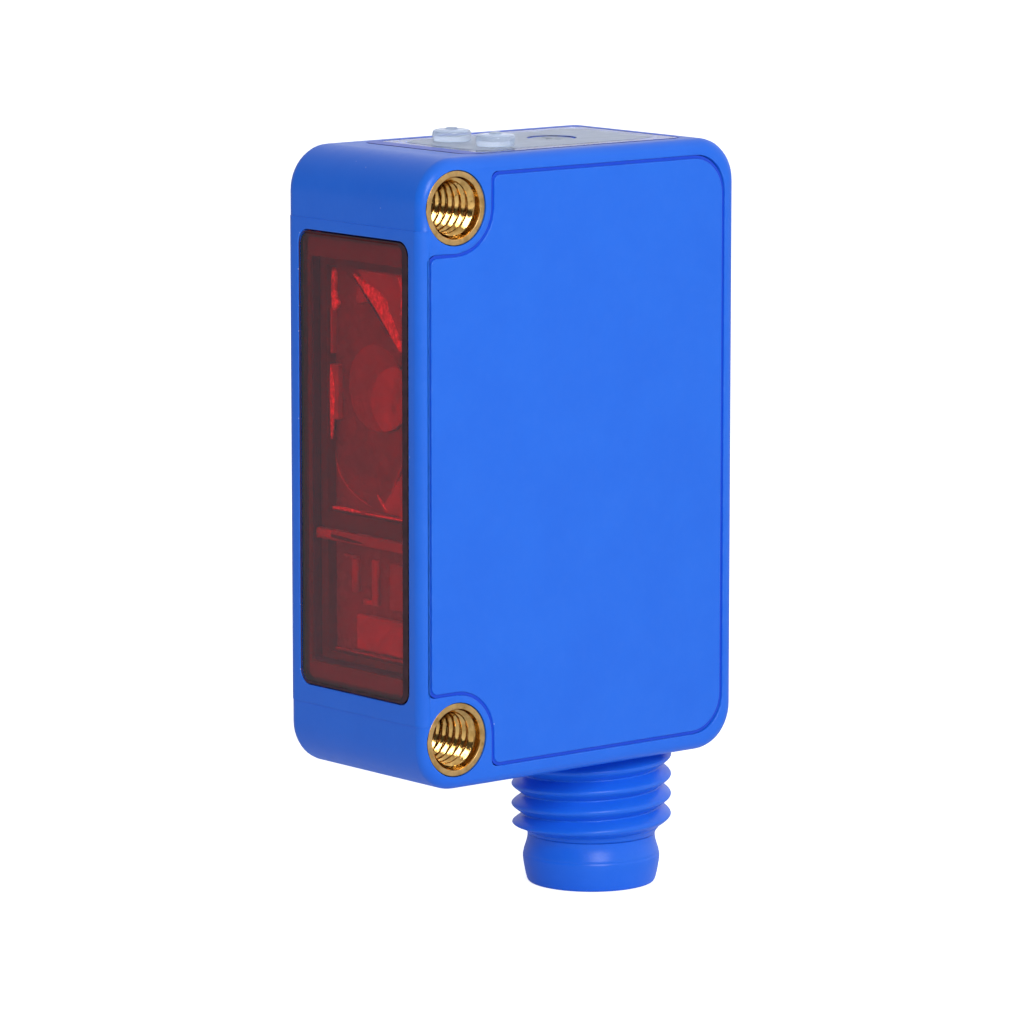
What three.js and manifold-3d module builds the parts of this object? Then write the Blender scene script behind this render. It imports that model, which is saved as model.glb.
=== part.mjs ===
// A miniature block-shaped photoelectric sensor with an M8 plug, as an assembly of separate pieces.
//
// Millimetres. The origin is on the mounting side (X = 0), midway between the two mounting bushes.
// +X runs across the body to the cover side, +Y from the front window to the back, +Z up.

import * as THREE from 'three';
import { mergeVertices } from 'three/addons/utils/BufferGeometryUtils.js';
import Module from 'manifold-3d';

// ---------------------------------------------------------------- driving dimensions

const WIDTH = 10.4;
const DEPTH = 19.8;
const HEIGHT = 30.2;
const CORNER_RADIUS = 2.15;
const EDGE_RADIUS = 0.6;

const BUSH_PITCH = 25.4;
const FRONT_TO_BUSH = 2.16;
const TOP_TO_BUSH = 2.35;

const FRONT = -FRONT_TO_BUSH;
const BACK = FRONT + DEPTH;
const BUSH_Z = BUSH_PITCH / 2;
const TOP = BUSH_Z + TOP_TO_BUSH;
const BOTTOM = TOP - HEIGHT;
const MIDDLE = WIDTH / 2;

const BUSH = { radius: 1.774, hole: 1.8, inset: 0.05, mouth: 1.5, minor: 1.23, chamfer: 0.45 };

const COVER = {
  thickness: 0.7,
  front: -1.61,
  back: 16.79,
  halfHeight: 14.2,
  notch: 2.23,
  corner: 0.35,
  backCorner: 1.8,
};
const COVER_GAP = 0.08;
const COVER_UNDERSIDE = WIDTH - COVER.thickness;
const RIB = { height: 0.4, width: 0.6, gap: 0.15 };

const CAVITY = {
  floor: 1.0,
  front: -0.95,
  back: 16.4,
  top: 13.2,
  bottom: -13.7,
  notch: 2.8,
  corner: 0.35,
  backCorner: 0.4,
};

const PANE = { left: 0.99, right: 9.41, bottom: -11.0, top: 11.15, corner: 0.7, gap: 0.05 };
const PANE_THICKNESS = 0.48;
const PANE_CHAMFER = 0.12;
const PANE_SETBACK = 0.03;
const PANE_RECESS_DEPTH = 0.81;
const BAND = { bottom: -11.9, top: 11.7, height: 0.035 };
const SEAL = { thickness: 0.25, gap: 0.02 };
const WELL = { left: 1.4, right: 9.0, halfHeight: 9.85, corner: 0.3 };

const FRAME = { left: 1.45, right: 8.95, halfHeight: 9.75, front: -0.9, back: 5.6 };
const BAY = { left: 1.95, right: 8.45 };
const RECEIVER_BAY = { bottom: -2.55, top: 9.4 };
const EMITTER_BAY = { bottom: -9.4, top: -3.95 };
const LENS_SEAT = 1.7;
const LENS_LEDGE = 0.4;
const LENS_GAP = 0.05;
const LENS_FRONT = -0.45;
const RECEIVER_LENS = { z: 3.7, radius: 2.1, bulge: 0.3 };
const EMITTER_LENS = { z: -6.7, radius: 1.9, bulge: 0.3 };
const LENS_ARC_STEPS = 5;
const APERTURE = { left: 2.5, right: 7.9, front: 4.55, back: 4.85, bottom: -1.3, top: 8.9 };
const APERTURE_SLOT = { halfWidth: 1.3, halfHeight: 0.6 };
const RECEIVER_CHIP = { halfWidth: 1.6, halfHeight: 1.3, front: 5.05 };
const EMITTER = { half: 1.0, front: 5.0, domeRadius: 0.75, domeHeight: 0.7 };

const GUIDE = { left: 1.07, right: 9.33, front: 1.54, back: 15.3, thickness: 0.78, corner: 0.9, gap: 0.05 };
const GUIDE_BOTTOM = TOP - GUIDE.thickness;
const LIGHT_PIPES = { power: [3.55, 5.29], output: [6.85, 5.29] };
const PIPE = { radius: 0.8, hole: 0.9, bottom: 12.3, seat: TOP + 0.02 };
const PIPE_HEAD = { radius: 0.95, height: 0.65, rounding: 0.3, nubRadius: 0.3, nubHeight: 0.08 };

const ADJUSTER = { x: MIDDLE, y: 10.2, top: TOP - 0.04, slot: 0.36, slotDepth: 0.4, slotReach: 0.98 };
const ADJUSTER_HEAD = { radius: 1.2, hole: 1.25, bottom: 14.31, chamfer: 0.1 };
const SPINDLE = { radius: 0.75, hole: 0.95, bottom: 12.1, shoulder: 12.76, tang: 0.45 };
const SPINDLE_SEAL = { inner: 0.8, outer: 1.38, pocket: 1.45, pocketFloor: 13.65, bottom: 13.68, top: 14.24 };
const TRIMMER = { half: 1.9, bottom: 11.55, top: 12.75, pocket: 1.4, pocketFloor: 11.85 };
const WIPER = { radius: 1.3, bottom: 11.9, top: 12.7, socket: 0.55, socketFloor: 12.05 };

const PLUG = { x: MIDDLE, y: 12.82, wallHole: 4.05, body: 3.95, bore: 2.9, end: -22.1 };
const PLUG_FLANGE = { radius: 4.5, hollow: 3.3, bottom: -13.65, top: -12.9, halfWidth: 4.05, back: 16.1 };
const PLUG_GROOVE = { radius: 3.45, bottom: -14.75, top: -14.05 };
const PLUG_THREAD = { crest: 3.97, root: 3.42, pitch: 1.0, top: -15.25, bottom: -19.45, runOut: 0.4 };
const THREAD_PHASE = 0.63;
const THREAD_ROUNDING = 0.22;
const THREAD_ROWS_PER_TURN = 7;
const PLUG_NECK = { radius: 3.18, z: -19.85 };
const PLUG_COLLAR = { radius: 3.39, z: -20.75 };
const PLUG_NOSE = { radius: 3.22, z: -21.7, rounding: 0.3 };
const PLUG_KEY = { width: 0.9, depth: 0.35, top: -17.0, bottom: -21.5 };
const RING_GAP = 0.04;
const CARRIER = { radius: 2.85, bottom: -16.9, top: -12.7, pinHole: 0.52 };
const PINS = [[-1.45, -0.85], [1.45, -0.85], [-1.0, 1.2], [1.0, 1.2]];
const PIN = { radius: 0.5, bottom: -21.1, top: -11.6, tip: 0.25 };

const BOARD = 0.6;
const MAIN_BOARD = { x: 7.9, front: 6.9, back: 15.6, bottom: -11.4, top: 10.6 };
const DISPLAY_BOARD = { left: 1.5, right: 8.9, front: 3.4, back: 13.6, z: 10.9 };
const PLUG_BOARD = { left: 1.5, right: 8.9, front: 8.6, back: 16.0, z: -12.5, pinHole: 0.62 };
const OPTICS_BOARD = { left: 1.55, right: 8.85, halfHeight: 9.6, y: 5.75 };
const CHIP_GAP = 0.05;
const MAIN_BOARD_INNER_FACE = MAIN_BOARD.x - CHIP_GAP;
const MAIN_BOARD_OUTER_FACE = MAIN_BOARD.x + BOARD + CHIP_GAP;

const FLEX = { thickness: 0.15, bend: 0.7, leg: 1.3 };
const OPTICS_FLEX = { bottom: 2.6, top: 6.2 };
const DISPLAY_FLEX = { front: 8.2, back: 12.2 };
const PLUG_FLEX = { front: 9.0, back: 11.2 };

// The chips on the main board's inner face: height over the board, then their ends in Y and in Z.
const INNER_CHIPS = {
  signal_chip: { height: 0.9, y: [9.2, 13.2], z: [1.5, 5.5] },
  controller_chip: { height: 0.9, y: [9.0, 12.5], z: [-3.8, -0.3] },
  output_driver: { height: 1.2, y: [8.2, 10.7], z: [-8.4, -5.6] },
  supply_regulator: { height: 1.1, y: [12.4, 14.8], z: [-8.2, -5.4] },
  protection_diode: { height: 1.0, y: [9.6, 11.0], z: [6.9, 8.4] },
};
const STORAGE_CAPACITOR = { height: 2.4, y: [13.1, 15.3], z: [-3.4, 0.4] };
const BYPASS_CAPACITORS = { count: 3, spacing: 2.2, front: 8.4, depth: 0.8, height: 0.5, z: [2.0, 3.6] };
const INDUCTOR = { y: 13.9, z: 7.4, radius: 1.6, waist: 1.2, flange: 0.5, slope: 0.1, height: 2.2 };
const INDICATOR_LED = { halfWidth: 0.5, halfDepth: 0.4, height: 0.6 };

// How far a cutter runs on past the face that it cuts.
const PAST = 1;

const ROUND = 40;
const BUSH_SIDES = 48;
const SCREW_SIDES = 32;
const HOLE_SIDES = 24;
const PIN_SIDES = 12;

// ---------------------------------------------------------------- solids

const wasm = await Module();
wasm.setup();

function toSolid(geometry) {
  const bare = geometry.clone();
  bare.deleteAttribute('normal');
  bare.deleteAttribute('uv');
  const merged = mergeVertices(bare, 1e-4);
  const mesh = new wasm.Mesh({
    numProp: 3,
    vertProperties: new Float32Array(merged.attributes.position.array),
    triVerts: new Uint32Array(merged.index.array),
  });
  return new wasm.Manifold(mesh);
}

function toGeometry(solid) {
  const mesh = solid.getMesh();
  const geometry = new THREE.BufferGeometry();
  geometry.setAttribute('position', new THREE.BufferAttribute(new Float32Array(mesh.vertProperties), 3));
  geometry.setIndex(new THREE.BufferAttribute(new Uint32Array(mesh.triVerts), 1));
  const flat = geometry.toNonIndexed();
  flat.computeVertexNormals();
  return flat;
}

function cut(base, ...tools) {
  let solid = toSolid(base);
  for (const tool of tools) {
    solid = solid.subtract(toSolid(tool));
  }
  return toGeometry(solid);
}

function join(base, ...others) {
  let solid = toSolid(base);
  for (const other of others) {
    solid = solid.add(toSolid(other));
  }
  return toGeometry(solid);
}

function common(a, b) {
  return toGeometry(toSolid(a).intersect(toSolid(b)));
}

// ---------------------------------------------------------------- outlines and basic forms

function roundedRectangle(left, bottom, right, top, radius) {
  const shape = new THREE.Shape();
  shape.moveTo(left + radius, bottom);
  shape.lineTo(right - radius, bottom);
  shape.absarc(right - radius, bottom + radius, radius, -Math.PI / 2, 0, false);
  shape.lineTo(right, top - radius);
  shape.absarc(right - radius, top - radius, radius, 0, Math.PI / 2, false);
  shape.lineTo(left + radius, top);
  shape.absarc(left + radius, top - radius, radius, Math.PI / 2, Math.PI, false);
  shape.lineTo(left, bottom + radius);
  shape.absarc(left + radius, bottom + radius, radius, Math.PI, Math.PI * 1.5, false);
  return shape;
}

// The outline of the cover and of the cavity under it, in (Y, Z): a tall rectangle whose two front
// corners are notched out round the bushes.
function notchedOutline({ front, back, top, bottom, notch, corner, backCorner }) {
  const right = 0;
  const up = Math.PI / 2;
  const left = Math.PI;
  const down = -Math.PI / 2;
  const ledge = BUSH_Z - notch;
  const shape = new THREE.Shape();
  shape.moveTo(notch + corner, bottom);
  shape.lineTo(back - backCorner, bottom);
  shape.absarc(back - backCorner, bottom + backCorner, backCorner, down, right, false);
  shape.lineTo(back, top - backCorner);
  shape.absarc(back - backCorner, top - backCorner, backCorner, right, up, false);
  shape.lineTo(notch + corner, top);
  shape.absarc(notch + corner, top - corner, corner, up, left, false);
  shape.lineTo(notch, BUSH_Z);
  shape.absarc(0, BUSH_Z, notch, right, down, true);
  shape.lineTo(front + corner, ledge);
  shape.absarc(front + corner, ledge - corner, corner, up, left, false);
  shape.lineTo(front, corner - ledge);
  shape.absarc(front + corner, corner - ledge, corner, left, left + up, false);
  shape.lineTo(0, -ledge);
  shape.absarc(0, -BUSH_Z, notch, up, right, true);
  shape.lineTo(notch, bottom + corner);
  shape.absarc(notch + corner, bottom + corner, corner, left, left + up, false);
  return shape;
}

function coverOutline(inset) {
  return notchedOutline({
    front: COVER.front + inset,
    back: COVER.back - inset,
    top: COVER.halfHeight - inset,
    bottom: inset - COVER.halfHeight,
    notch: COVER.notch + inset,
    corner: COVER.corner,
    backCorner: COVER.backCorner,
  });
}

function cavityOutline(inset) {
  return notchedOutline({
    front: CAVITY.front + inset,
    back: CAVITY.back - inset,
    top: CAVITY.top - inset,
    bottom: CAVITY.bottom + inset,
    notch: CAVITY.notch + inset,
    corner: CAVITY.corner,
    backCorner: CAVITY.backCorner,
  });
}

// Extrudes a shape by the given depth, with both end edges rounded or chamfered when edge is over 0.
function extrude(shape, depth, edge, edgeSteps, arcSteps) {
  return new THREE.ExtrudeGeometry(shape, {
    depth: depth - 2 * edge,
    curveSegments: arcSteps,
    bevelEnabled: edge > 0,
    bevelThickness: edge,
    bevelSize: edge,
    bevelOffset: -edge,
    bevelSegments: edgeSteps,
  }).translate(0, 0, edge);
}

function turned(geometry, xAxis, yAxis, zAxis) {
  return geometry.applyMatrix4(new THREE.Matrix4().makeBasis(xAxis, yAxis, zAxis));
}

const X = new THREE.Vector3(1, 0, 0);
const Y = new THREE.Vector3(0, 1, 0);
const Z = new THREE.Vector3(0, 0, 1);
const MINUS_Y = new THREE.Vector3(0, -1, 0);

// A (Y, Z) outline extruded along X.
function alongX(shape, from, to, { edge = 0, edgeSteps = 1, arcSteps = 3 } = {}) {
  return turned(extrude(shape, to - from, edge, edgeSteps, arcSteps), Y, Z, X).translate(from, 0, 0);
}

// An (X, Z) outline extruded along Y.
function alongY(shape, from, to, { edge = 0, edgeSteps = 1, arcSteps = 3 } = {}) {
  return turned(extrude(shape, to - from, edge, edgeSteps, arcSteps), X, Z, MINUS_Y).translate(0, to, 0);
}

// An (X, Y) outline extruded along Z.
function alongZ(shape, from, to, { edge = 0, edgeSteps = 1, arcSteps = 3 } = {}) {
  return extrude(shape, to - from, edge, edgeSteps, arcSteps).translate(0, 0, from);
}

function block(x0, x1, y0, y1, z0, z1) {
  const box = new THREE.BoxGeometry(x1 - x0, y1 - y0, z1 - z0);
  return box.translate((x0 + x1) / 2, (y0 + y1) / 2, (z0 + z1) / 2);
}

function uprightRod(x, y, radius, from, to, sides = ROUND) {
  const rod = new THREE.CylinderGeometry(radius, radius, to - from, sides).rotateX(Math.PI / 2);
  return rod.translate(x, y, (from + to) / 2);
}

function crossRod(y, z, radius, from, to, sides = ROUND) {
  const rod = new THREE.CylinderGeometry(radius, radius, to - from, sides).rotateZ(Math.PI / 2);
  return rod.translate((from + to) / 2, y, z);
}

// A profile of [radius, height] points, listed from the bottom up on its outer side, turned about Z.
function lathe(profile, sides = ROUND) {
  const points = profile.map(([radius, height]) => new THREE.Vector2(radius, height));
  return new THREE.LatheGeometry(points, sides).rotateX(Math.PI / 2);
}

// A quarter circle of profile points that rounds off a corner at the given radius and height.
function quarterArc(radius, height, rounding, steps) {
  const centre = [radius - rounding, height - rounding];
  const points = [];
  for (let i = 0; i <= steps; i += 1) {
    const turn = (i / steps) * (Math.PI / 2);
    points.push([centre[0] + rounding * Math.cos(turn), centre[1] + rounding * Math.sin(turn)]);
  }
  return points;
}

// ---------------------------------------------------------------- housing and cover

// The slightly raised band round the window. Its height fades to nothing along the housing's front edges.
function makeFrontBand() {
  const shoulder = FRONT + BAND.height + EDGE_RADIUS;
  const shape = new THREE.Shape();
  shape.moveTo(WIDTH, shoulder);
  shape.lineTo(0, shoulder);
  shape.absellipse(EDGE_RADIUS, shoulder, EDGE_RADIUS, shoulder - FRONT, Math.PI, Math.PI * 1.5, false);
  shape.lineTo(WIDTH - EDGE_RADIUS, FRONT);
  shape.absellipse(WIDTH - EDGE_RADIUS, shoulder, EDGE_RADIUS, shoulder - FRONT, -Math.PI / 2, 0, false);
  return alongZ(shape, BAND.bottom, BAND.top, { arcSteps: 5 });
}

function paneOutline(inset) {
  const { left, bottom, right, top, corner } = PANE;
  return roundedRectangle(left + inset, bottom + inset, right - inset, top - inset, corner - inset);
}

function wellOutline() {
  return roundedRectangle(WELL.left, -WELL.halfHeight, WELL.right, WELL.halfHeight, WELL.corner);
}

function guideOutline(inset) {
  const { left, front, right, back, corner } = GUIDE;
  return roundedRectangle(left + inset, front + inset, right - inset, back - inset, corner - inset);
}

function pipeHoles(from, to) {
  return Object.values(LIGHT_PIPES).map(([x, y]) => uprightRod(x, y, PIPE.hole, from, to, HOLE_SIDES));
}

function makeHousing() {
  const body = roundedRectangle(FRONT + BAND.height, BOTTOM, BACK, TOP, CORNER_RADIUS);
  const outer = alongX(body, 0, WIDTH, { edge: EDGE_RADIUS, edgeSteps: 5, arcSteps: 6 });
  const coverFloor = COVER_UNDERSIDE - COVER_GAP;
  const coverRecess = alongX(coverOutline(-COVER_GAP), coverFloor, WIDTH + PAST, { arcSteps: 5 });
  const cavity = alongX(cavityOutline(0), CAVITY.floor, WIDTH, { arcSteps: 3 });
  const paneRecess = alongY(paneOutline(0), FRONT - PAST, FRONT + PANE_RECESS_DEPTH, { arcSteps: 4 });
  const well = alongY(wellOutline(), FRONT, CAVITY.front + PAST);
  const guideRecess = alongZ(guideOutline(0), GUIDE_BOTTOM - GUIDE.gap, TOP + PAST, { arcSteps: 5 });
  const bushHoles = [-BUSH_Z, BUSH_Z].map((z) => (
    crossRod(0, z, BUSH.hole, -PAST, WIDTH + PAST, BUSH_SIDES)
  ));
  const { x, y } = ADJUSTER;
  const spindleHole = uprightRod(x, y, SPINDLE.hole, CAVITY.top - PAST, TOP, HOLE_SIDES);
  const sealPocket = uprightRod(x, y, SPINDLE_SEAL.pocket, SPINDLE_SEAL.pocketFloor, TOP, HOLE_SIDES);
  const plugHole = uprightRod(PLUG.x, PLUG.y, PLUG.wallHole, BOTTOM - PAST, CAVITY.bottom + PAST);
  const holes = [...bushHoles, ...pipeHoles(CAVITY.top - PAST, TOP), spindleHole, sealPocket, plugHole];
  return cut(join(outer, makeFrontBand()), coverRecess, cavity, paneRecess, well, guideRecess, ...holes);
}

function makeSideCover() {
  const plate = alongX(coverOutline(COVER_GAP), COVER_UNDERSIDE, WIDTH, { arcSteps: 5 });
  const overlap = 0.1;
  const ribOutside = alongX(cavityOutline(RIB.gap), COVER_UNDERSIDE - RIB.height, COVER_UNDERSIDE + overlap);
  const ribInside = alongX(cavityOutline(RIB.gap + RIB.width), COVER_UNDERSIDE - PAST, COVER_UNDERSIDE);
  return join(plate, cut(ribOutside, ribInside));
}

// A brass sleeve with an M3 bore across the housing. The bore is plain here, at its thread's minor size.
function makeBush(z) {
  const length = WIDTH - 2 * BUSH.inset;
  const profile = [
    [BUSH.minor, BUSH.chamfer],
    [BUSH.mouth, 0],
    [BUSH.radius, 0],
    [BUSH.radius, length],
    [BUSH.mouth, length],
    [BUSH.minor, length - BUSH.chamfer],
    [BUSH.minor, BUSH.chamfer],
  ];
  return lathe(profile, BUSH_SIDES).rotateY(Math.PI / 2).translate(BUSH.inset, 0, z);
}

// ---------------------------------------------------------------- front: pane, seal and optics

function makeFrontWindow() {
  const front = FRONT + PANE_SETBACK;
  return alongY(paneOutline(PANE.gap), front, front + PANE_THICKNESS, { edge: PANE_CHAMFER, arcSteps: 4 });
}

function makeWindowSeal() {
  const back = FRONT + PANE_RECESS_DEPTH - SEAL.gap;
  const outline = paneOutline(PANE.gap);
  outline.holes.push(new THREE.Path(wellOutline().getPoints(3).reverse()));
  return alongY(outline, back - SEAL.thickness, back, { arcSteps: 4 });
}

function makeOpticsFrame() {
  const { left, right, front, back, halfHeight } = FRAME;
  const cutters = [];
  for (const { bottom, top } of [RECEIVER_BAY, EMITTER_BAY]) {
    cutters.push(block(BAY.left, BAY.right, front - PAST, LENS_SEAT, bottom, top));
    cutters.push(block(
      BAY.left + LENS_LEDGE,
      BAY.right - LENS_LEDGE,
      LENS_SEAT - PAST,
      back + PAST,
      bottom + LENS_LEDGE,
      top - LENS_LEDGE,
    ));
  }
  return cut(block(left, right, front, back, -halfHeight, halfHeight), ...cutters);
}

// A lens slab that fills its bay, with a shallow round bulge on its front.
function makeLens({ bottom, top }, { z, radius, bulge }) {
  const slab = block(
    BAY.left + LENS_GAP,
    BAY.right - LENS_GAP,
    LENS_FRONT,
    LENS_SEAT - LENS_GAP,
    bottom + LENS_GAP,
    top - LENS_GAP,
  );
  const root = -0.5;
  const sphereRadius = (radius * radius + bulge * bulge) / (2 * bulge);
  const capAngle = Math.asin(radius / sphereRadius);
  const profile = [[0, root], [radius, root]];
  for (let i = 0; i < LENS_ARC_STEPS; i += 1) {
    const angle = capAngle * (1 - i / LENS_ARC_STEPS);
    profile.push([sphereRadius * Math.sin(angle), bulge - sphereRadius * (1 - Math.cos(angle))]);
  }
  profile.push([0, bulge]);
  const cap = lathe(profile).rotateX(Math.PI / 2).translate(MIDDLE, LENS_FRONT, z);
  return join(slab, cap);
}

function makeReceiverAperture() {
  const { left, right, front, back, bottom, top } = APERTURE;
  const { halfWidth, halfHeight } = APERTURE_SLOT;
  const slot = block(
    MIDDLE - halfWidth,
    MIDDLE + halfWidth,
    front - PAST,
    back + PAST,
    RECEIVER_LENS.z - halfHeight,
    RECEIVER_LENS.z + halfHeight,
  );
  return cut(block(left, right, front, back, bottom, top), slot);
}

// A chip on the front of the optics board, on the axis of the lens at the given height.
function opticsChip(z, front, halfWidth, halfHeight) {
  const back = OPTICS_BOARD.y - CHIP_GAP;
  return block(MIDDLE - halfWidth, MIDDLE + halfWidth, front, back, z - halfHeight, z + halfHeight);
}

function makeReceiverChip() {
  return opticsChip(RECEIVER_LENS.z, RECEIVER_CHIP.front, RECEIVER_CHIP.halfWidth, RECEIVER_CHIP.halfHeight);
}

function makeEmitterLed() {
  const { half, front, domeRadius, domeHeight } = EMITTER;
  const root = -0.2;
  const profile = [[0, root], [domeRadius, root], ...quarterArc(domeRadius, domeHeight, domeHeight, 4)];
  const dome = lathe([...profile, [0, domeHeight]], HOLE_SIDES);
  const base = opticsChip(EMITTER_LENS.z, front, half, half);
  return join(base, dome.rotateX(Math.PI / 2).translate(MIDDLE, front, EMITTER_LENS.z));
}

function makeOpticsBoard() {
  const { left, right, halfHeight, y } = OPTICS_BOARD;
  return block(left, right, y, y + BOARD, -halfHeight, halfHeight);
}

// ---------------------------------------------------------------- top: light guide, pipes and adjuster

function makeLightGuide() {
  const plate = alongZ(guideOutline(GUIDE.gap), GUIDE_BOTTOM, TOP, { arcSteps: 5 });
  const bottom = GUIDE_BOTTOM - PAST;
  const { x, y } = ADJUSTER;
  const adjusterHole = uprightRod(x, y, ADJUSTER_HEAD.hole, bottom, TOP + PAST, SCREW_SIDES);
  return cut(plate, ...pipeHoles(bottom, TOP + PAST), adjusterHole);
}

// A clear rod from its LED up to a low round head on the light guide, with a small nub at the centre.
function makeLightPipe([x, y]) {
  const { radius, height, rounding, nubRadius, nubHeight } = PIPE_HEAD;
  const crown = PIPE.seat + height;
  const profile = [
    [0, PIPE.bottom],
    [PIPE.radius, PIPE.bottom],
    [PIPE.radius, PIPE.seat],
    [radius, PIPE.seat],
    ...quarterArc(radius, crown, rounding, 4),
    [nubRadius, crown],
    [nubRadius * 0.8, crown + nubHeight],
    [0, crown + nubHeight],
  ];
  return lathe(profile, HOLE_SIDES).translate(x, y, 0);
}

// A turning screw with a cross slot in its head, on a square tang that fits the trimmer's wiper.
function makeAdjusterSpindle() {
  const { top, slot, slotDepth, slotReach } = ADJUSTER;
  const { radius, bottom, chamfer } = ADJUSTER_HEAD;
  const profile = [
    [0, SPINDLE.shoulder],
    [SPINDLE.radius, SPINDLE.shoulder],
    [SPINDLE.radius, bottom],
    [radius, bottom],
    [radius, top - chamfer],
    [radius - chamfer, top],
    [0, top],
  ];
  const { tang } = SPINDLE;
  const drive = block(-tang, tang, -tang, tang, SPINDLE.bottom, SPINDLE.shoulder + PAST);
  const floor = top - slotDepth;
  const slotAcross = block(-slotReach, slotReach, -slot / 2, slot / 2, floor, top + PAST);
  const slotAlong = block(-slot / 2, slot / 2, -slotReach, slotReach, floor, top + PAST);
  const screw = cut(join(lathe(profile, SCREW_SIDES), drive), slotAcross, slotAlong);
  return screw.translate(ADJUSTER.x, ADJUSTER.y, 0);
}

// A ring with an oval section, turned about Z.
function ring(inner, outer, bottom, top, sides) {
  const middle = (inner + outer) / 2;
  const radial = (outer - inner) / 2;
  const height = (top - bottom) / 2;
  const profile = [];
  const steps = 8;
  for (let i = 0; i <= steps; i += 1) {
    const turn = (i / steps) * Math.PI * 2;
    profile.push([middle + radial * Math.cos(turn), (top + bottom) / 2 + height * Math.sin(turn)]);
  }
  return lathe(profile, sides);
}

function makeAdjusterSeal() {
  const { inner, outer, bottom, top } = SPINDLE_SEAL;
  return ring(inner, outer, bottom, top, HOLE_SIDES).translate(ADJUSTER.x, ADJUSTER.y, 0);
}

function makeTrimmerBody() {
  const { half, bottom, top, pocket, pocketFloor } = TRIMMER;
  const { x, y } = ADJUSTER;
  const body = block(x - half, x + half, y - half, y + half, bottom, top);
  return cut(body, uprightRod(x, y, pocket, pocketFloor, top + PAST, SCREW_SIDES));
}

function makeTrimmerWiper() {
  const { radius, bottom, top, socket, socketFloor } = WIPER;
  const disc = uprightRod(0, 0, radius, bottom, top, SCREW_SIDES);
  const wiper = cut(disc, block(-socket, socket, -socket, socket, socketFloor, top + PAST));
  return wiper.translate(ADJUSTER.x, ADJUSTER.y, 0);
}

// ---------------------------------------------------------------- plug

// The height of the thread above its root, from 0 to 1, at a place along its pitch: V ridges whose crests
// are rounded as a hyperbola.
function ridge(turns) {
  const across = Math.abs(turns - Math.round(turns)) * 2;
  const foot = Math.hypot(1, THREAD_ROUNDING);
  return (foot - Math.hypot(across, THREAD_ROUNDING)) / (foot - THREAD_ROUNDING);
}

// Pushes the plain rows of the plug's lathe form out to a helical thread, which fades out at its lower end.
function pushOutThread(shell) {
  const { crest, root, pitch, top, bottom, runOut } = PLUG_THREAD;
  const slack = 1e-3;
  const places = shell.attributes.position;
  for (let i = 0; i < places.count; i += 1) {
    const x = places.getX(i);
    const y = places.getY(i);
    const z = places.getZ(i);
    const radius = Math.hypot(x, y);
    if (z > bottom - slack && z < top + slack && Math.abs(radius - root) < slack) {
      const fade = Math.min(1, (z - bottom) / runOut);
      const turns = (z - top) / pitch - Math.atan2(y, x) / (2 * Math.PI) + THREAD_PHASE;
      const grown = (root + (crest - root) * ridge(turns) * fade) / radius;
      places.setXY(i, x * grown, y * grown);
    }
  }
}

function plugProfile() {
  const { root, pitch, top, bottom } = PLUG_THREAD;
  const profile = [
    [PLUG.bore, PLUG.end],
    [PLUG_NOSE.radius - PLUG_NOSE.rounding, PLUG.end],
    [PLUG_NOSE.radius - 0.08, PLUG.end + 0.12],
    [PLUG_NOSE.radius, PLUG_NOSE.z],
    [PLUG_COLLAR.radius - 0.03, PLUG_COLLAR.z - 0.25],
    [PLUG_COLLAR.radius, PLUG_COLLAR.z],
    [PLUG_COLLAR.radius - 0.06, PLUG_COLLAR.z + 0.25],
    [PLUG_NECK.radius, PLUG_NECK.z - 0.2],
    [PLUG_NECK.radius, PLUG_NECK.z + 0.15],
  ];
  const rows = Math.round(((top - bottom) / pitch) * THREAD_ROWS_PER_TURN);
  for (let i = 0; i <= rows; i += 1) {
    profile.push([root, bottom + ((top - bottom) * i) / rows]);
  }
  profile.push(
    [PLUG.body, top + 0.1],
    [PLUG.body, PLUG_GROOVE.bottom],
    [PLUG_GROOVE.radius, PLUG_GROOVE.bottom],
    [PLUG_GROOVE.radius, PLUG_GROOVE.top],
    [PLUG.body, PLUG_GROOVE.top],
    [PLUG.body, PLUG_FLANGE.top],
    [PLUG.bore, PLUG_FLANGE.top],
    [PLUG.bore, PLUG.end],
  );
  return profile;
}

// A disc with three flat sides, which stops the plug from turning in the housing.
function plugFlange() {
  const { radius, hollow, bottom, top, halfWidth, back } = PLUG_FLANGE;
  const disc = uprightRod(0, 0, radius, bottom, top);
  const middle = uprightRod(0, 0, hollow, bottom - PAST, top + PAST);
  const flats = block(-halfWidth, halfWidth, -radius - PAST, back - PLUG.y, bottom - PAST, top + PAST);
  return common(cut(disc, middle), flats);
}

function makePlugShell() {
  const shell = lathe(plugProfile());
  pushOutThread(shell);
  const overlap = 0.2;
  const key = block(
    -PLUG_KEY.width / 2,
    PLUG_KEY.width / 2,
    PLUG.bore - PLUG_KEY.depth,
    PLUG.bore + overlap,
    PLUG_KEY.bottom,
    PLUG_KEY.top,
  );
  return join(shell, plugFlange(), key).translate(PLUG.x, PLUG.y, 0);
}

function makePlugSeal() {
  const bottom = PLUG_GROOVE.bottom + RING_GAP;
  const top = PLUG_GROOVE.top - RING_GAP;
  const seal = ring(PLUG_GROOVE.radius + RING_GAP, PLUG.wallHole - RING_GAP, bottom, top, SCREW_SIDES);
  return seal.translate(PLUG.x, PLUG.y, 0);
}

// One hole for each pin.
function pinHoles(radius, from, to) {
  return PINS.map(([x, y]) => uprightRod(PLUG.x + x, PLUG.y + y, radius, from, to, PIN_SIDES));
}

function makePinCarrier() {
  const { radius, bottom, top, pinHole } = CARRIER;
  const disc = uprightRod(PLUG.x, PLUG.y, radius, bottom, top);
  return cut(disc, ...pinHoles(pinHole, bottom - PAST, top + PAST));
}

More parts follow.
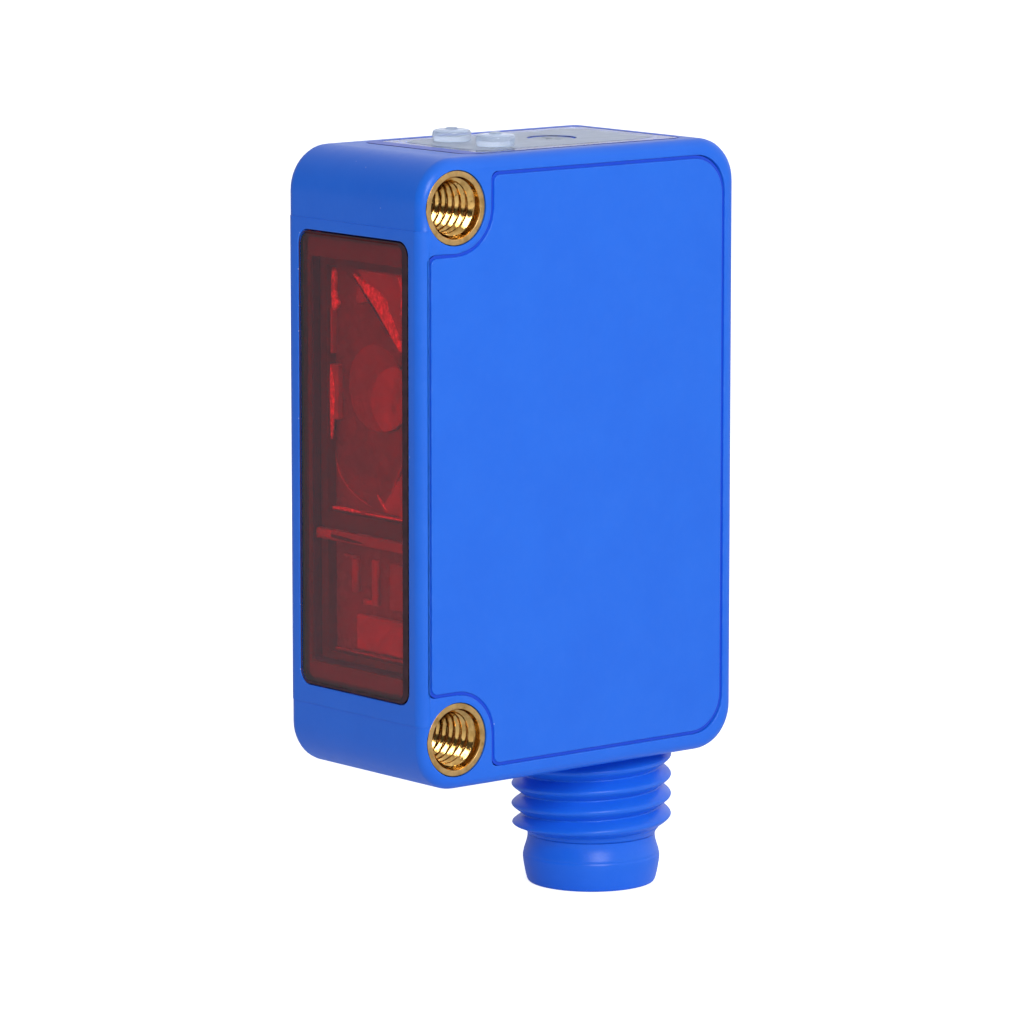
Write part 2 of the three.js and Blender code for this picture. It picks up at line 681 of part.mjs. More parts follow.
function makePin([x, y]) {
  const { radius, bottom, top, tip } = PIN;
  const profile = [
    [0, bottom],
    [radius * 0.5, bottom],
    [radius * 0.9, bottom + tip * 0.5],
    [radius, bottom + tip],
    [radius, top],
    [0, top],
  ];
  return lathe(profile, PIN_SIDES).translate(PLUG.x + x, PLUG.y + y, 0);
}

// ---------------------------------------------------------------- boards, flexes and chips

function makeMainBoard() {
  const { x, front, back, bottom, top } = MAIN_BOARD;
  return block(x, x + BOARD, front, back, bottom, top);
}

function makeDisplayBoard() {
  const { left, right, front, back, z } = DISPLAY_BOARD;
  return block(left, right, front, back, z, z + BOARD);
}

function makePlugBoard() {
  const { left, right, front, back, z, pinHole } = PLUG_BOARD;
  const board = block(left, right, front, back, z, z + BOARD);
  return cut(board, ...pinHoles(pinHole, z - PAST, z + BOARD + PAST));
}

// A thin strip bent through a right angle. In its own plane it runs right along the first axis, then
// turns up along the second, with its bend's outer corner at the origin.
function bentStrip() {
  const { thickness, bend, leg } = FLEX;
  const shape = new THREE.Shape();
  shape.moveTo(-bend - leg, 0);
  shape.lineTo(-bend, 0);
  shape.absarc(-bend, bend, bend, -Math.PI / 2, 0, false);
  shape.lineTo(0, bend + leg);
  shape.lineTo(-thickness, bend + leg);
  shape.lineTo(-thickness, bend);
  shape.absarc(-bend, bend, bend - thickness, 0, -Math.PI / 2, true);
  shape.lineTo(-bend - leg, thickness);
  return shape;
}

// From the back of the optics board round to the main board's inner face.
function makeOpticsFlex() {
  const start = OPTICS_BOARD.y + BOARD + CHIP_GAP;
  return alongZ(bentStrip(), OPTICS_FLEX.bottom, OPTICS_FLEX.top).translate(MAIN_BOARD_INNER_FACE, start, 0);
}

// From under the display board down to the main board's inner face.
function makeDisplayFlex() {
  const { front, back } = DISPLAY_FLEX;
  const strip = alongY(bentStrip(), 0, back - front).rotateX(Math.PI);
  return strip.translate(MAIN_BOARD_INNER_FACE, back, DISPLAY_BOARD.z - CHIP_GAP);
}

// From the top of the plug board up to the main board's inner face.
function makePlugFlex() {
  const strip = alongY(bentStrip(), PLUG_FLEX.front, PLUG_FLEX.back);
  return strip.translate(MAIN_BOARD_INNER_FACE, 0, PLUG_BOARD.z + BOARD + CHIP_GAP);
}

function makeInnerChip({ height, y, z }) {
  return block(MAIN_BOARD_INNER_FACE - height, MAIN_BOARD_INNER_FACE, y[0], y[1], z[0], z[1]);
}

// One of the small capacitors in a row on the main board's outer face.
function makeBypassCapacitor(index) {
  const { spacing, front, depth, height, z } = BYPASS_CAPACITORS;
  const start = front + spacing * index;
  return block(MAIN_BOARD_OUTER_FACE, MAIN_BOARD_OUTER_FACE + height, start, start + depth, z[0], z[1]);
}

function makeFilterInductor() {
  const { y, z, radius, waist, flange, slope, height } = INDUCTOR;
  const profile = [
    [0, 0],
    [radius, 0],
    [radius, flange],
    [waist, flange + slope],
    [waist, height - flange - slope],
    [radius, height - flange],
    [radius, height],
    [0, height],
  ];
  return lathe(profile, HOLE_SIDES).rotateY(Math.PI / 2).translate(MAIN_BOARD_INNER_FACE - height, y, z);
}

function makeIndicatorLed([x, y]) {
  const { halfWidth, halfDepth, height } = INDICATOR_LED;
  const board = DISPLAY_BOARD.z + BOARD + CHIP_GAP;
  return block(x - halfWidth, x + halfWidth, y - halfDepth, y + halfDepth, board, board + height);
}

// ---------------------------------------------------------------- assembly

const sensor = new THREE.Group();
sensor.name = 'photoelectric_sensor';

function add(name, geometry, color, roughness, metalness = 0) {
  const mesh = new THREE.Mesh(geometry, new THREE.MeshStandardMaterial({ color, roughness, metalness }));
  mesh.name = name;
  sensor.add(mesh);
}

const BLUE = 0x2a6ae0;
const BLACK = 0x1c1c1e;
const BRASS = 0xc8963c;
const GOLD = 0xe0b050;
const PANE_RED = 0x8c1020;
const LENS_CLEAR = 0xe8ecf0;
const GUIDE_CLEAR = 0xc4ccd4;
const PIPE_CLEAR = 0xd4e0ec;
const RESIN = 0xe8e4d4;
const SCREW_WHITE = 0xe6e2d6;
const TRIMMER_BLUE = 0x20304c;
const BOARD_GREEN = 0x2d6b3c;
const FLEX_AMBER = 0xb87420;
const CHIP_BLACK = 0x242426;
const TANTALUM_YELLOW = 0xd8a020;
const FERRITE = 0x4a4a4e;
const CERAMIC = 0xb09470;

add('housing', makeHousing(), BLUE, 0.45);
add('side_cover', makeSideCover(), BLUE, 0.45);
add('upper_threaded_bush', makeBush(BUSH_Z), BRASS, 0.25, 1);
add('lower_threaded_bush', makeBush(-BUSH_Z), BRASS, 0.25, 1);

add('front_window', makeFrontWindow(), PANE_RED, 0.1);
add('window_seal', makeWindowSeal(), BLACK, 0.7);
add('optics_frame', makeOpticsFrame(), BLACK, 0.6);
add('receiver_lens', makeLens(RECEIVER_BAY, RECEIVER_LENS), LENS_CLEAR, 0.05);
add('emitter_lens', makeLens(EMITTER_BAY, EMITTER_LENS), LENS_CLEAR, 0.05);
add('receiver_aperture', makeReceiverAperture(), BLACK, 0.8);
add('receiver_chip', makeReceiverChip(), CHIP_BLACK, 0.3);
add('emitter_led', makeEmitterLed(), RESIN, 0.2);
add('optics_board', makeOpticsBoard(), BOARD_GREEN, 0.5);

add('light_guide', makeLightGuide(), GUIDE_CLEAR, 0.2);
add('power_light_pipe', makeLightPipe(LIGHT_PIPES.power), PIPE_CLEAR, 0.1);
add('output_light_pipe', makeLightPipe(LIGHT_PIPES.output), PIPE_CLEAR, 0.1);
add('adjuster_spindle', makeAdjusterSpindle(), SCREW_WHITE, 0.5);
add('adjuster_seal', makeAdjusterSeal(), BLACK, 0.8);
add('trimmer_body', makeTrimmerBody(), TRIMMER_BLUE, 0.5);
add('trimmer_wiper', makeTrimmerWiper(), SCREW_WHITE, 0.5);

add('plug_shell', makePlugShell(), BLUE, 0.4);
add('plug_seal', makePlugSeal(), BLACK, 0.8);
add('pin_carrier', makePinCarrier(), CHIP_BLACK, 0.5);
PINS.forEach((place, i) => add(`pin_${i + 1}`, makePin(place), GOLD, 0.25, 1));

add('main_board', makeMainBoard(), BOARD_GREEN, 0.5);
add('display_board', makeDisplayBoard(), BOARD_GREEN, 0.5);
add('plug_board', makePlugBoard(), BOARD_GREEN, 0.5);
add('optics_flex', makeOpticsFlex(), FLEX_AMBER, 0.4);
add('display_flex', makeDisplayFlex(), FLEX_AMBER, 0.4);
add('plug_flex', makePlugFlex(), FLEX_AMBER, 0.4);
add('power_led', makeIndicatorLed(LIGHT_PIPES.power), RESIN, 0.2);
add('output_led', makeIndicatorLed(LIGHT_PIPES.output), RESIN, 0.2);

Object.entries(INNER_CHIPS).forEach(([name, chip]) => add(name, makeInnerChip(chip), CHIP_BLACK, 0.4));
add('storage_capacitor', makeInnerChip(STORAGE_CAPACITOR), TANTALUM_YELLOW, 0.4);
add('filter_inductor', makeFilterInductor(), FERRITE, 0.5);
for (let i = 0; i < BYPASS_CAPACITORS.count; i += 1) {
  add(`bypass_capacitor_${i + 1}`, makeBypassCapacitor(i), CERAMIC, 0.5);
}

export default sensor;
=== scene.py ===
"""The looks of a miniature photoelectric sensor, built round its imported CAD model.

Metres, in the CAD frame: the origin is on the mounting side midway between the two bushes, +X runs across
to the cover side, +Y from the front window to the back, +Z up. Sizes marked _MM are millimetres.
"""

import math

import bmesh
import bpy
from mathutils import Matrix, Vector


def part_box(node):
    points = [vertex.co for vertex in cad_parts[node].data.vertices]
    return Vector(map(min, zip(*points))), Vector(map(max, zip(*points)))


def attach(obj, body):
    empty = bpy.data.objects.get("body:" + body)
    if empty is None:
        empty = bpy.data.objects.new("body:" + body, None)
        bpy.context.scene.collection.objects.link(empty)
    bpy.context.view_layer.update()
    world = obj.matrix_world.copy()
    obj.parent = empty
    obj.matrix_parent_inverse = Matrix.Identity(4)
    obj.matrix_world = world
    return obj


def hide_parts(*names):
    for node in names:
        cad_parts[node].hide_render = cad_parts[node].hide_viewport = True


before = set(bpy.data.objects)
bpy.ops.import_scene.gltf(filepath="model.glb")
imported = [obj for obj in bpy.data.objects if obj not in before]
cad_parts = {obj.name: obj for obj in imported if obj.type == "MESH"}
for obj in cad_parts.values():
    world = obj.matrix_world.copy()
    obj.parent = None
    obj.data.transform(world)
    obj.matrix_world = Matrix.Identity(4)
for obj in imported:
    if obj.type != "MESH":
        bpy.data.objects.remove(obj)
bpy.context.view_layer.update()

MM = 0.001
HOUSING = "housing"
ADJUSTER = "adjuster"

housing_low, housing_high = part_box("housing")
plug_low, plug_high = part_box("plug_shell")
MIDDLE_X = (housing_low.x + housing_high.x) / 2


# ---------------------------------------------------------------- camera, lights and floor

VIEW_AZIMUTH = math.radians(50.27)
VIEW_ELEVATION = math.radians(8.85)
VIEW_DISTANCE = 293.1 * MM
VIEW_ASIDE = -0.03 * MM
VIEW_BELOW = 3.03 * MM
LENS_MM = 211.5
SENSOR_MM = 36.0


def add_camera():
    """A long lens that looks at the housing's front and its cover side from a little above."""
    away = Vector((
        math.sin(VIEW_AZIMUTH) * math.cos(VIEW_ELEVATION),
        -math.cos(VIEW_AZIMUTH) * math.cos(VIEW_ELEVATION),
        math.sin(VIEW_ELEVATION),
    ))
    right = Vector((math.cos(VIEW_AZIMUTH), math.sin(VIEW_AZIMUTH), 0))
    up = away.cross(right)
    centre = (housing_low + housing_high) / 2
    data = bpy.data.cameras.new("camera")
    data.lens = LENS_MM
    data.sensor_width = SENSOR_MM
    data.clip_start = 0.01
    data.clip_end = 20
    camera = bpy.data.objects.new("camera", data)
    place = centre + right * VIEW_ASIDE - up * VIEW_BELOW + away * VIEW_DISTANCE
    camera.matrix_world = Matrix((
        (right.x, up.x, away.x, place.x),
        (right.y, up.y, away.y, place.y),
        (right.z, up.z, away.z, place.z),
        (0, 0, 0, 1),
    ))
    bpy.context.scene.collection.objects.link(camera)
    bpy.context.scene.camera = camera


def add_area_light(name, place, width, power, mirrored):
    """A square soft light that looks at the housing. Only a mirrored one shows in glossy surfaces."""
    data = bpy.data.lights.new(name, "AREA")
    data.shape = "SQUARE"
    data.size = width
    data.energy = power
    light = bpy.data.objects.new(name, data)
    light.location = place
    light.visible_glossy = mirrored
    towards = (housing_low + housing_high) / 2 - light.location
    light.rotation_euler = towards.to_track_quat("-Z", "Y").to_euler()
    bpy.context.scene.collection.objects.link(light)


def add_lights():
    add_area_light("key", place=(0.42, -0.18, 0.24), width=0.20, power=1.30, mirrored=True)
    add_area_light("near_fill", place=(0.31, -0.25, 0.02), width=0.30, power=0.22, mirrored=False)


class Shader:
    """A material's or world's node tree, with short calls for adding and linking nodes."""

    def __init__(self, owner):
        owner.use_nodes = True
        self.tree = owner.node_tree
        self.tree.nodes.clear()

    def add(self, kind, inputs=None, **settings):
        node = self.tree.nodes.new("ShaderNode" + kind)
        for name, value in settings.items():
            setattr(node, name, value)
        for name, value in (inputs or {}).items():
            socket = node.inputs[name]
            if isinstance(value, bpy.types.NodeSocket):
                self.tree.links.new(value, socket)
            else:
                socket.default_value = value
        return node

    def math(self, operation, first, second):
        return self.add("Math", {0: first, 1: second}, operation=operation).outputs[0]

    def dot(self, first, second):
        return self.add("VectorMath", {0: first, 1: second}, operation="DOT_PRODUCT").outputs["Value"]

    def mix(self, factor, first, second):
        node = self.add("Mix", data_type="RGBA")
        for index, value in ((0, factor), (6, first), (7, second)):
            if isinstance(value, bpy.types.NodeSocket):
                self.tree.links.new(value, node.inputs[index])
            else:
                node.inputs[index].default_value = value
        return node.outputs[2]

    def range(self, value, low, high, to_low=0.0, to_high=1.0):
        sockets = {"Value": value, "From Min": low, "From Max": high, "To Min": to_low, "To Max": to_high}
        return self.add("MapRange", sockets).outputs["Result"]

    def millimetres(self, stretch=(1, 1, 1)):
        """The place on the object in millimetres, so that a texture's scale is in features per millimetre."""
        place = self.add("TexCoord").outputs["Object"]
        scale = tuple(s / MM for s in stretch)
        return self.add("VectorMath", {0: place, 1: scale}, operation="MULTIPLY").outputs[0]

    def noise(self, place, scale, detail=2.0, roughness=0.5):
        sockets = {"Vector": place, "Scale": scale, "Detail": detail, "Roughness": roughness}
        return self.add("TexNoise", sockets).outputs["Fac"]

    def bump(self, height, distance_mm, strength=1.0, below=None):
        sockets = {"Height": height, "Distance": distance_mm * MM, "Strength": strength}
        if below is not None:
            sockets["Normal"] = below
        return self.add("Bump", sockets).outputs["Normal"]

    def principled(self, **sockets):
        names = {name.replace("_", " "): value for name, value in sockets.items()}
        shader = self.add("BsdfPrincipled", names)
        self.finish(shader.outputs[0])

    def finish(self, surface):
        kind = "OutputWorld" if "Background" in surface.node.name else "OutputMaterial"
        self.add(kind, {"Surface": surface})


WHITE_ROOM = (1, 1, 1, 1)
COOL_ROOM = (0.93, 0.95, 1.06, 1)
SOFT_LIGHT = 0.70
LIGHT_INTO_CLEAR_PARTS = 3.7
BRIGHT_SIDE = (0.2, 0.98, 0.0)
BRIGHT_FROM = 0.6
DARK_SIDE_LIGHT = 0.12
NEAR_SIDE = (0.77, -0.63, 0.10)
NEAR_SIDE_EDGES = (0.62, 0.92)
NEAR_SIDE_LIGHT = 0.10


def add_world():
    """A white room: pure white to look at, slightly cool and dimmer as soft light, brighter where it falls
    in through clear parts, darker towards the front, and dark on the near side, behind the camera."""
    world = bpy.data.worlds.new("studio")
    bpy.context.scene.world = world
    shader = Shader(world)
    path = shader.add("LightPath")
    direction = shader.add("TexCoord").outputs["Generated"]
    walls = shader.range(shader.dot(direction, BRIGHT_SIDE), -1, BRIGHT_FROM, DARK_SIDE_LIGHT, 1.0)
    shade = shader.range(shader.dot(direction, NEAR_SIDE), *NEAR_SIDE_EDGES, 1.0, NEAR_SIDE_LIGHT)
    walls = shader.math("MULTIPLY", walls, shade)
    mirrored = shader.range(path.outputs["Is Glossy Ray"], 0, 1, SOFT_LIGHT, 1.0)
    scattered = shader.math("MINIMUM", path.outputs["Diffuse Depth"], 1)
    entering = shader.math("MULTIPLY", scattered, path.outputs["Is Transmission Ray"])
    lit = shader.math("MULTIPLY", walls, mirrored)
    lit = shader.math("MAXIMUM", lit, shader.math("MULTIPLY", entering, LIGHT_INTO_CLEAR_PARTS))
    seen = path.outputs["Is Camera Ray"]
    strength = shader.math("MAXIMUM", lit, seen)
    colour = shader.mix(seen, COOL_ROOM, WHITE_ROOM)
    background = shader.add("Background", {"Color": colour, "Strength": strength})
    shader.finish(background.outputs[0])


FLOOR_REACH = 3.0
FLOOR_GAP_MM = 0.02
FLOOR_GLOW = 0.8


def add_floor():
    """A wide pale floor just under the plug's end. It glows a little, but only to the camera."""
    mesh = bpy.data.meshes.new("floor")
    z = plug_low.z - FLOOR_GAP_MM * MM
    corners = [(x * FLOOR_REACH, y * FLOOR_REACH, z) for x, y in ((-1, -1), (1, -1), (1, 1), (-1, 1))]
    mesh.from_pydata(corners, [], [(0, 1, 2, 3)])
    floor = bpy.data.objects.new("floor", mesh)
    bpy.context.scene.collection.objects.link(floor)
    material = bpy.data.materials.new("pale_floor")
    shader = Shader(material)
    grain = shader.noise(shader.millimetres(), 0.4, 3.0)
    colour = shader.mix(grain, (0.90, 0.93, 0.97, 1), (0.93, 0.96, 1.0, 1))
    seen = shader.add("LightPath").outputs["Is Camera Ray"]
    glow = shader.math("MULTIPLY", seen, FLOOR_GLOW)
    shader.principled(Base_Color=colour, Roughness=0.7, Emission_Color=(1, 1, 1, 1), Emission_Strength=glow)
    mesh.materials.append(material)


# ---------------------------------------------------------------- materials

def new_shader(name):
    material = bpy.data.materials.new(name)
    return material, Shader(material)


def specks(shader, place, per_mm, radius, share):
    """Small round specks scattered over a surface: 1 on a speck, 0 elsewhere."""
    cells = shader.add("TexVoronoi", {"Vector": place, "Scale": per_mm})
    near = shader.range(cells.outputs["Distance"], radius, radius * 0.4)
    pick = shader.add("SeparateColor", {0: cells.outputs["Color"]}).outputs[0]
    chosen = shader.math("GREATER_THAN", pick, 1 - share)
    return shader.math("MULTIPLY", near, chosen)


BLUE = (0.014, 0.166, 0.830, 1)
BLUE_DEEP = (0.012, 0.156, 0.810, 1)
# Darker blue that paints the shade in the grooves between parts.
BLUE_GROOVE_SHADE = (0.003, 0.070, 0.660, 1)
# Lighter blue: wear, and on the edge faces painted highlight along the edges.
BLUE_WEAR_AND_SHEEN = (0.09, 0.27, 0.90, 1)
# Pale specks: dust, and on the edge faces painted glints.
DUST_AND_GLINT = (0.55, 0.66, 0.92, 1)


def blue_plastic(name, speck_share, wear_and_sheen, colour=BLUE, deep=BLUE_DEEP):
    """Satin moulded plastic: fine grain, faint flow mottling, pale dust and burrs, and a lighter worn colour
    with pale specks, which on the edge faces also paint highlights and glints along the edges.
    """
    material, shader = new_shader(name)
    place = shader.millimetres()
    mottle = shader.noise(place, 0.32, 4.0, 0.6)
    cloud = shader.noise(place, 1.6, 5.0, 0.65)
    grain = shader.noise(place, 7.0, 3.0, 0.6)
    base = shader.mix(shader.range(mottle, 0.35, 0.65), colour, deep)
    # Lighter worn colour: random wear, and on the edge faces painted highlight along the edges.
    worn_and_sheen = shader.math("MULTIPLY", shader.range(cloud, 0.45, 0.75), wear_and_sheen)
    base = shader.mix(worn_and_sheen, base, BLUE_WEAR_AND_SHEEN)
    dust_and_glints = shader.math(
        "MAXIMUM",
        specks(shader, place, 1.5, 0.075, speck_share),
        specks(shader, place, 4.0, 0.16, speck_share * 0.5),
    )
    base = shader.mix(shader.math("MULTIPLY", dust_and_glints, 0.75), base, DUST_AND_GLINT)
    rough = shader.range(cloud, 0.3, 0.7, 0.31, 0.38)
    normal = shader.bump(grain, 0.008, 0.4)
    normal = shader.bump(mottle, 0.05, 0.35, normal)
    shader.principled(Base_Color=base, Roughness=rough, Normal=normal, IOR=1.41)
    return material


def brass(name, bright, dull, rough_low, rough_high, pitting):
    """Turned brass: fine tool marks round the axis, slight tarnish and a few dark pits."""
    material, shader = new_shader(name)
    place = shader.millimetres()
    marks = shader.noise(shader.millimetres((9, 1, 1)), 2.5, 4.0, 0.6)
    tarnish = shader.noise(place, 2.2, 5.0, 0.65)
    colour = shader.mix(shader.range(tarnish, 0.4, 0.66), bright, dull)
    pits = specks(shader, place, 6.0, 0.30, pitting)
    colour = shader.mix(shader.math("MULTIPLY", pits, 0.6), colour, (0.26, 0.13, 0.03, 1))
    rough = shader.range(marks, 0.3, 0.7, rough_low, rough_high)
    normal = shader.bump(marks, 0.008, 0.5)
    normal = shader.bump(pits, -0.02, 0.6, normal)
    shader.principled(Base_Color=colour, Metallic=1.0, Roughness=rough, Normal=normal)
    return material


def red_pane(name):
    """Clear red plastic with a polished face."""
    material, shader = new_shader(name)
    haze = shader.noise(shader.millimetres(), 0.8, 4.0, 0.6)
    scratches = shader.noise(shader.millimetres((1, 1, 0.12)), 14.0, 2.0, 0.5)
    colour = shader.mix(shader.range(haze, 0.3, 0.7), (0.95, 0.05, 0.06, 1), (0.90, 0.04, 0.05, 1))
    rough = shader.range(scratches, 0.4, 0.75, 0.02, 0.06)
    normal = shader.bump(haze, 0.01, 0.2)
    shader.principled(Base_Color=colour, Roughness=rough, Normal=normal, Transmission_Weight=1.0, IOR=1.49)
    return material


def clear_plastic(name, colour, rough_low, rough_high, scale=1.2, clearness=1.0):
    """Clear or cloudy moulded plastic with faint flow lines."""
    material, shader = new_shader(name)
    flow = shader.noise(shader.millimetres((1, 0.4, 1)), scale, 4.0, 0.6)
    tint = tuple(c * 0.93 for c in colour[:3]) + (1,)
    base = shader.mix(shader.range(flow, 0.3, 0.7), colour, tint)
    rough = shader.range(flow, 0.3, 0.7, rough_low, rough_high)
    normal = shader.bump(flow, 0.02, 0.25)
    shader.principled(
        Base_Color=base,
        Roughness=rough,
        Normal=normal,
        Transmission_Weight=clearness,
        IOR=1.45,
    )
    return material


def painted_streak_facet(name):
    """A white facet with fine streaks along it, which paints the bright reflection streak of the clear prism.
    """
    material, shader = new_shader(name)
    streaks = shader.noise(shader.millimetres((2.2, 1, 1.4)), 2.4, 5.0, 0.7)
    base = shader.mix(shader.range(streaks, 0.38, 0.56), (0.98, 0.96, 0.94, 1), (0.42, 0.40, 0.39, 1))
    rough = shader.range(streaks, 0.3, 0.7, 0.35, 0.55)
    shader.principled(Base_Color=base, Roughness=rough, Normal=shader.bump(streaks, 0.05, 0.8))
    return material


def plain_plastic(name, colour, variation, rough_low, rough_high, scale=2.0, bump_mm=0.01):
    """Opaque plastic, rubber or resin with a fine grain."""
    material, shader = new_shader(name)
    place = shader.millimetres()
    mottle = shader.noise(place, scale, 4.0, 0.6)
    grain = shader.noise(place, scale * 9, 2.0, 0.6)
    other = tuple(c * variation for c in colour[:3]) + (1,)
    base = shader.mix(shader.range(mottle, 0.35, 0.65), colour, other)
    rough = shader.range(mottle, 0.3, 0.7, rough_low, rough_high)
    shader.principled(Base_Color=base, Roughness=rough, Normal=shader.bump(grain, bump_mm, 0.5))
    return material


def circuit_board(name):
    """Green solder mask over a grid of copper tracks."""
    material, shader = new_shader(name)
    place = shader.millimetres()
    tracks = shader.add("TexBrick", {"Vector": place, "Scale": 1.4, "Mortar Size": 0.03})
    weave = shader.noise(place, 6.0, 3.0)
    mask = shader.mix(weave, (0.02, 0.13, 0.05, 1), (0.03, 0.18, 0.07, 1))
    base = shader.mix(tracks.outputs["Fac"], mask, (0.10, 0.30, 0.12, 1))
    normal = shader.bump(tracks.outputs["Fac"], 0.03, 0.5)
    shader.principled(Base_Color=base, Roughness=shader.range(weave, 0.3, 0.7, 0.25, 0.45), Normal=normal)
    return material


def plated_metal(name, colour, dull):
    """Polished plating with faint wiping marks."""
    material, shader = new_shader(name)
    place = shader.millimetres()
    wipe = shader.noise(shader.millimetres((4, 4, 0.6)), 3.0, 4.0, 0.6)
    base = shader.mix(shader.range(wipe, 0.35, 0.7), colour, dull)
    rough = shader.range(shader.noise(place, 5.0, 3.0), 0.3, 0.7, 0.14, 0.28)
    shader.principled(Base_Color=base, Metallic=1.0, Roughness=rough, Normal=shader.bump(wipe, 0.005, 0.4))
    return material


# ---------------------------------------------------------------- mesh building

def link(name, mesh):
    piece = bpy.data.objects.new(name, mesh)
    bpy.context.scene.collection.objects.link(piece)
    return piece


def even_normals(piece):
    piece.modifiers.new("even_normals", "WEIGHTED_NORMAL").keep_sharp = False


def mesh_from(name, vertices, faces, marks=None):
    """A smooth-shaded piece from vertices in millimetres. marks gives each face's material index."""
    mesh = bpy.data.meshes.new(name)
    mesh.from_pydata([(x * MM, y * MM, z * MM) for x, y, z in vertices], [], faces)
    for i, polygon in enumerate(mesh.polygons):
        polygon.use_smooth = True
        polygon.material_index = marks[i] if marks else 0
    bm = bmesh.new()
    bm.from_mesh(mesh)
    bmesh.ops.recalc_face_normals(bm, faces=bm.faces)
    bm.to_mesh(mesh)
    bm.free()
    mesh.validate()
    return link(name, mesh)


class Bodies:
    """Closed bodies, in millimetres, gathered into one piece. A mark is a body's material index."""

    def __init__(self):
        self.vertices = []
        self.faces = []
        self.marks = []

    def add(self, body, mark=0):
        vertices, faces = body
        first = len(self.vertices)
        self.vertices += vertices
        self.faces += [tuple(first + i for i in face) for face in faces]
        self.marks += [mark] * len(faces)

    def piece(self, name, flat=False):
        """The piece, smooth over its edges unless it is flat, as a thin sheet is."""
        piece = mesh_from(name, self.vertices, self.faces, self.marks)
        if flat:
            for polygon in piece.data.polygons:
                polygon.use_smooth = False
        else:
            even_normals(piece)
        return piece


def rounded_box(low, high, radius, segments=2):
    """The vertices and faces of a box with rounded edges."""
    bm = bmesh.new()
    bmesh.ops.create_cube(bm, size=1)
    low, high = Vector(low), Vector(high)
    bmesh.ops.scale(bm, vec=high - low, verts=bm.verts)
    bmesh.ops.translate(bm, vec=(low + high) / 2, verts=bm.verts)
    bmesh.ops.bevel(
        bm,
        geom=bm.edges[:],
        offset=radius,
        offset_type="OFFSET",
        segments=segments,
        profile=0.5,
        affect="EDGES",
    )
    body = [tuple(v.co) for v in bm.verts], [tuple(v.index for v in f.verts) for f in bm.faces]
    bm.free()
    return body


def rib(points, width, height, level, steps=28, arc=8):
    """A bead with half-oval sections that lies on the plane Y = level, along the curve that three (X, Z)
    points bend, and narrows to a point at both ends."""
    start, bend, end = (Vector(point) for point in points)
    vertices = [(start.x, level, start.y)]
    for i in range(1, steps):
        t = i / steps
        centre = start * (1 - t) ** 2 + bend * 2 * t * (1 - t) + end * t ** 2
        along = ((bend - start) * (1 - t) + (end - bend) * t).normalized()
        swell = math.sin(math.pi * t) ** 0.7
        for k in range(arc + 1):
            angle = math.pi * k / arc
            out = math.cos(angle) * width / 2 * swell
            rise = math.sin(angle) * height * swell
            vertices.append((centre.x - along.y * out, level - rise, centre.y + along.x * out))
    vertices.append((end.x, level, end.y))
    last = len(vertices) - 1
    ring = arc + 1
    faces = []
    for k in range(ring):
        after = (k + 1) % ring
        faces.append((0, 1 + k, 1 + after))
        faces.append((last, last - ring + after, last - ring + k))
        for i in range(steps - 2):
            here = 1 + i * ring
            faces.append((here + k, here + ring + k, here + ring + after, here + after))
    return vertices, faces


def smooth_outline(points, steps=6):
    """A closed curve through the points."""
    curve = []
    count = len(points)
    for i in range(count):
        a, b, c, d = (Vector(points[(i + k - 1) % count]) for k in range(4))
        for step in range(steps):
            t = step / steps
            straight = 2 * b + (c - a) * t
            bend = (2 * a - 5 * b + 4 * c - d) * t ** 2 + (3 * b - a - 3 * c + d) * t ** 3
            curve.append(0.5 * (straight + bend))
    return curve


def pad(points, level, rise, edge=0.05):
    """A raised pad on the plane Y = level, facing -Y, inside the closed curve through counterclockwise
    (X, Z) points."""
    outline = smooth_outline(points)
    count = len(outline)
    rings = [
        (outline, level + 0.08),
        (outline, level - rise + min(edge, rise * 0.5)),
        (moved_out(outline, -edge), level - rise),
    ]
    vertices = [(point.x, y, point.y) for ring, y in rings for point in ring]
    faces = [tuple(range(count)), tuple(2 * count + i for i in reversed(range(count)))]
    for first in (0, count):
        for i in range(count):
            after = (i + 1) % count
            faces.append((first + i, first + after, first + count + after, first + count + i))
    return vertices, faces


def face_outline(node, axis):
    """The corners, in order and in millimetres, round a CAD node's outermost flat face that looks along
    +axis. They are pairs of the other two coordinates."""
    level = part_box(node)[1][axis]
    bm = bmesh.new()
    bm.from_mesh(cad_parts[node].data)
    bmesh.ops.remove_doubles(bm, verts=bm.verts, dist=1e-7)
    bm.verts.ensure_lookup_table()
    slack = 0.01 * MM

    def is_outermost(face):
        return face.normal[axis] > 0.99 and abs(face.calc_center_median()[axis] - level) < slack

    flat = {face for face in bm.faces if is_outermost(face)}
    after = {}
    for face in flat:
        for loop in face.loops:
            if not any(other in flat and other is not face for other in loop.edge.link_faces):
                after[loop.vert.index] = loop.link_loop_next.vert.index
    order = [next(iter(after))]
    while after[order[-1]] != order[0]:
        order.append(after[order[-1]])
    others = [(axis + 1) % 3, (axis + 2) % 3]
    outline = [Vector([bm.verts[i].co[other] / MM for other in others]) for i in order]
    bm.free()
    return outline


def moved_out(outline, distance):
    """A counterclockwise outline moved outwards by a distance."""
    moved = []
    for i, point in enumerate(outline):
        before = (point - outline[i - 1]).normalized()
        after = (outline[(i + 1) % len(outline)] - point).normalized()
        normal = Vector((before.y + after.y, -before.x - after.x)).normalized()
        lean = normal.dot(Vector((after.y, -after.x)))
        moved.append(point + normal * distance / max(lean, 0.5))
    return moved


def rounded_rectangle(low, high, radius, steps=8):
    """A counterclockwise outline from corner low to corner high, with round corners."""
    centres = [
        (high[0] - radius, low[1] + radius, -90),
        (high[0] - radius, high[1] - radius, 0),
        (low[0] + radius, high[1] - radius, 90),
        (low[0] + radius, low[1] + radius, 180),
    ]
    outline = []
    for x, y, first in centres:
        for step in range(steps + 1):
            angle = math.radians(first + 90 * step / steps)
            outline.append(Vector((x + radius * math.cos(angle), y + radius * math.sin(angle))))
    return outline


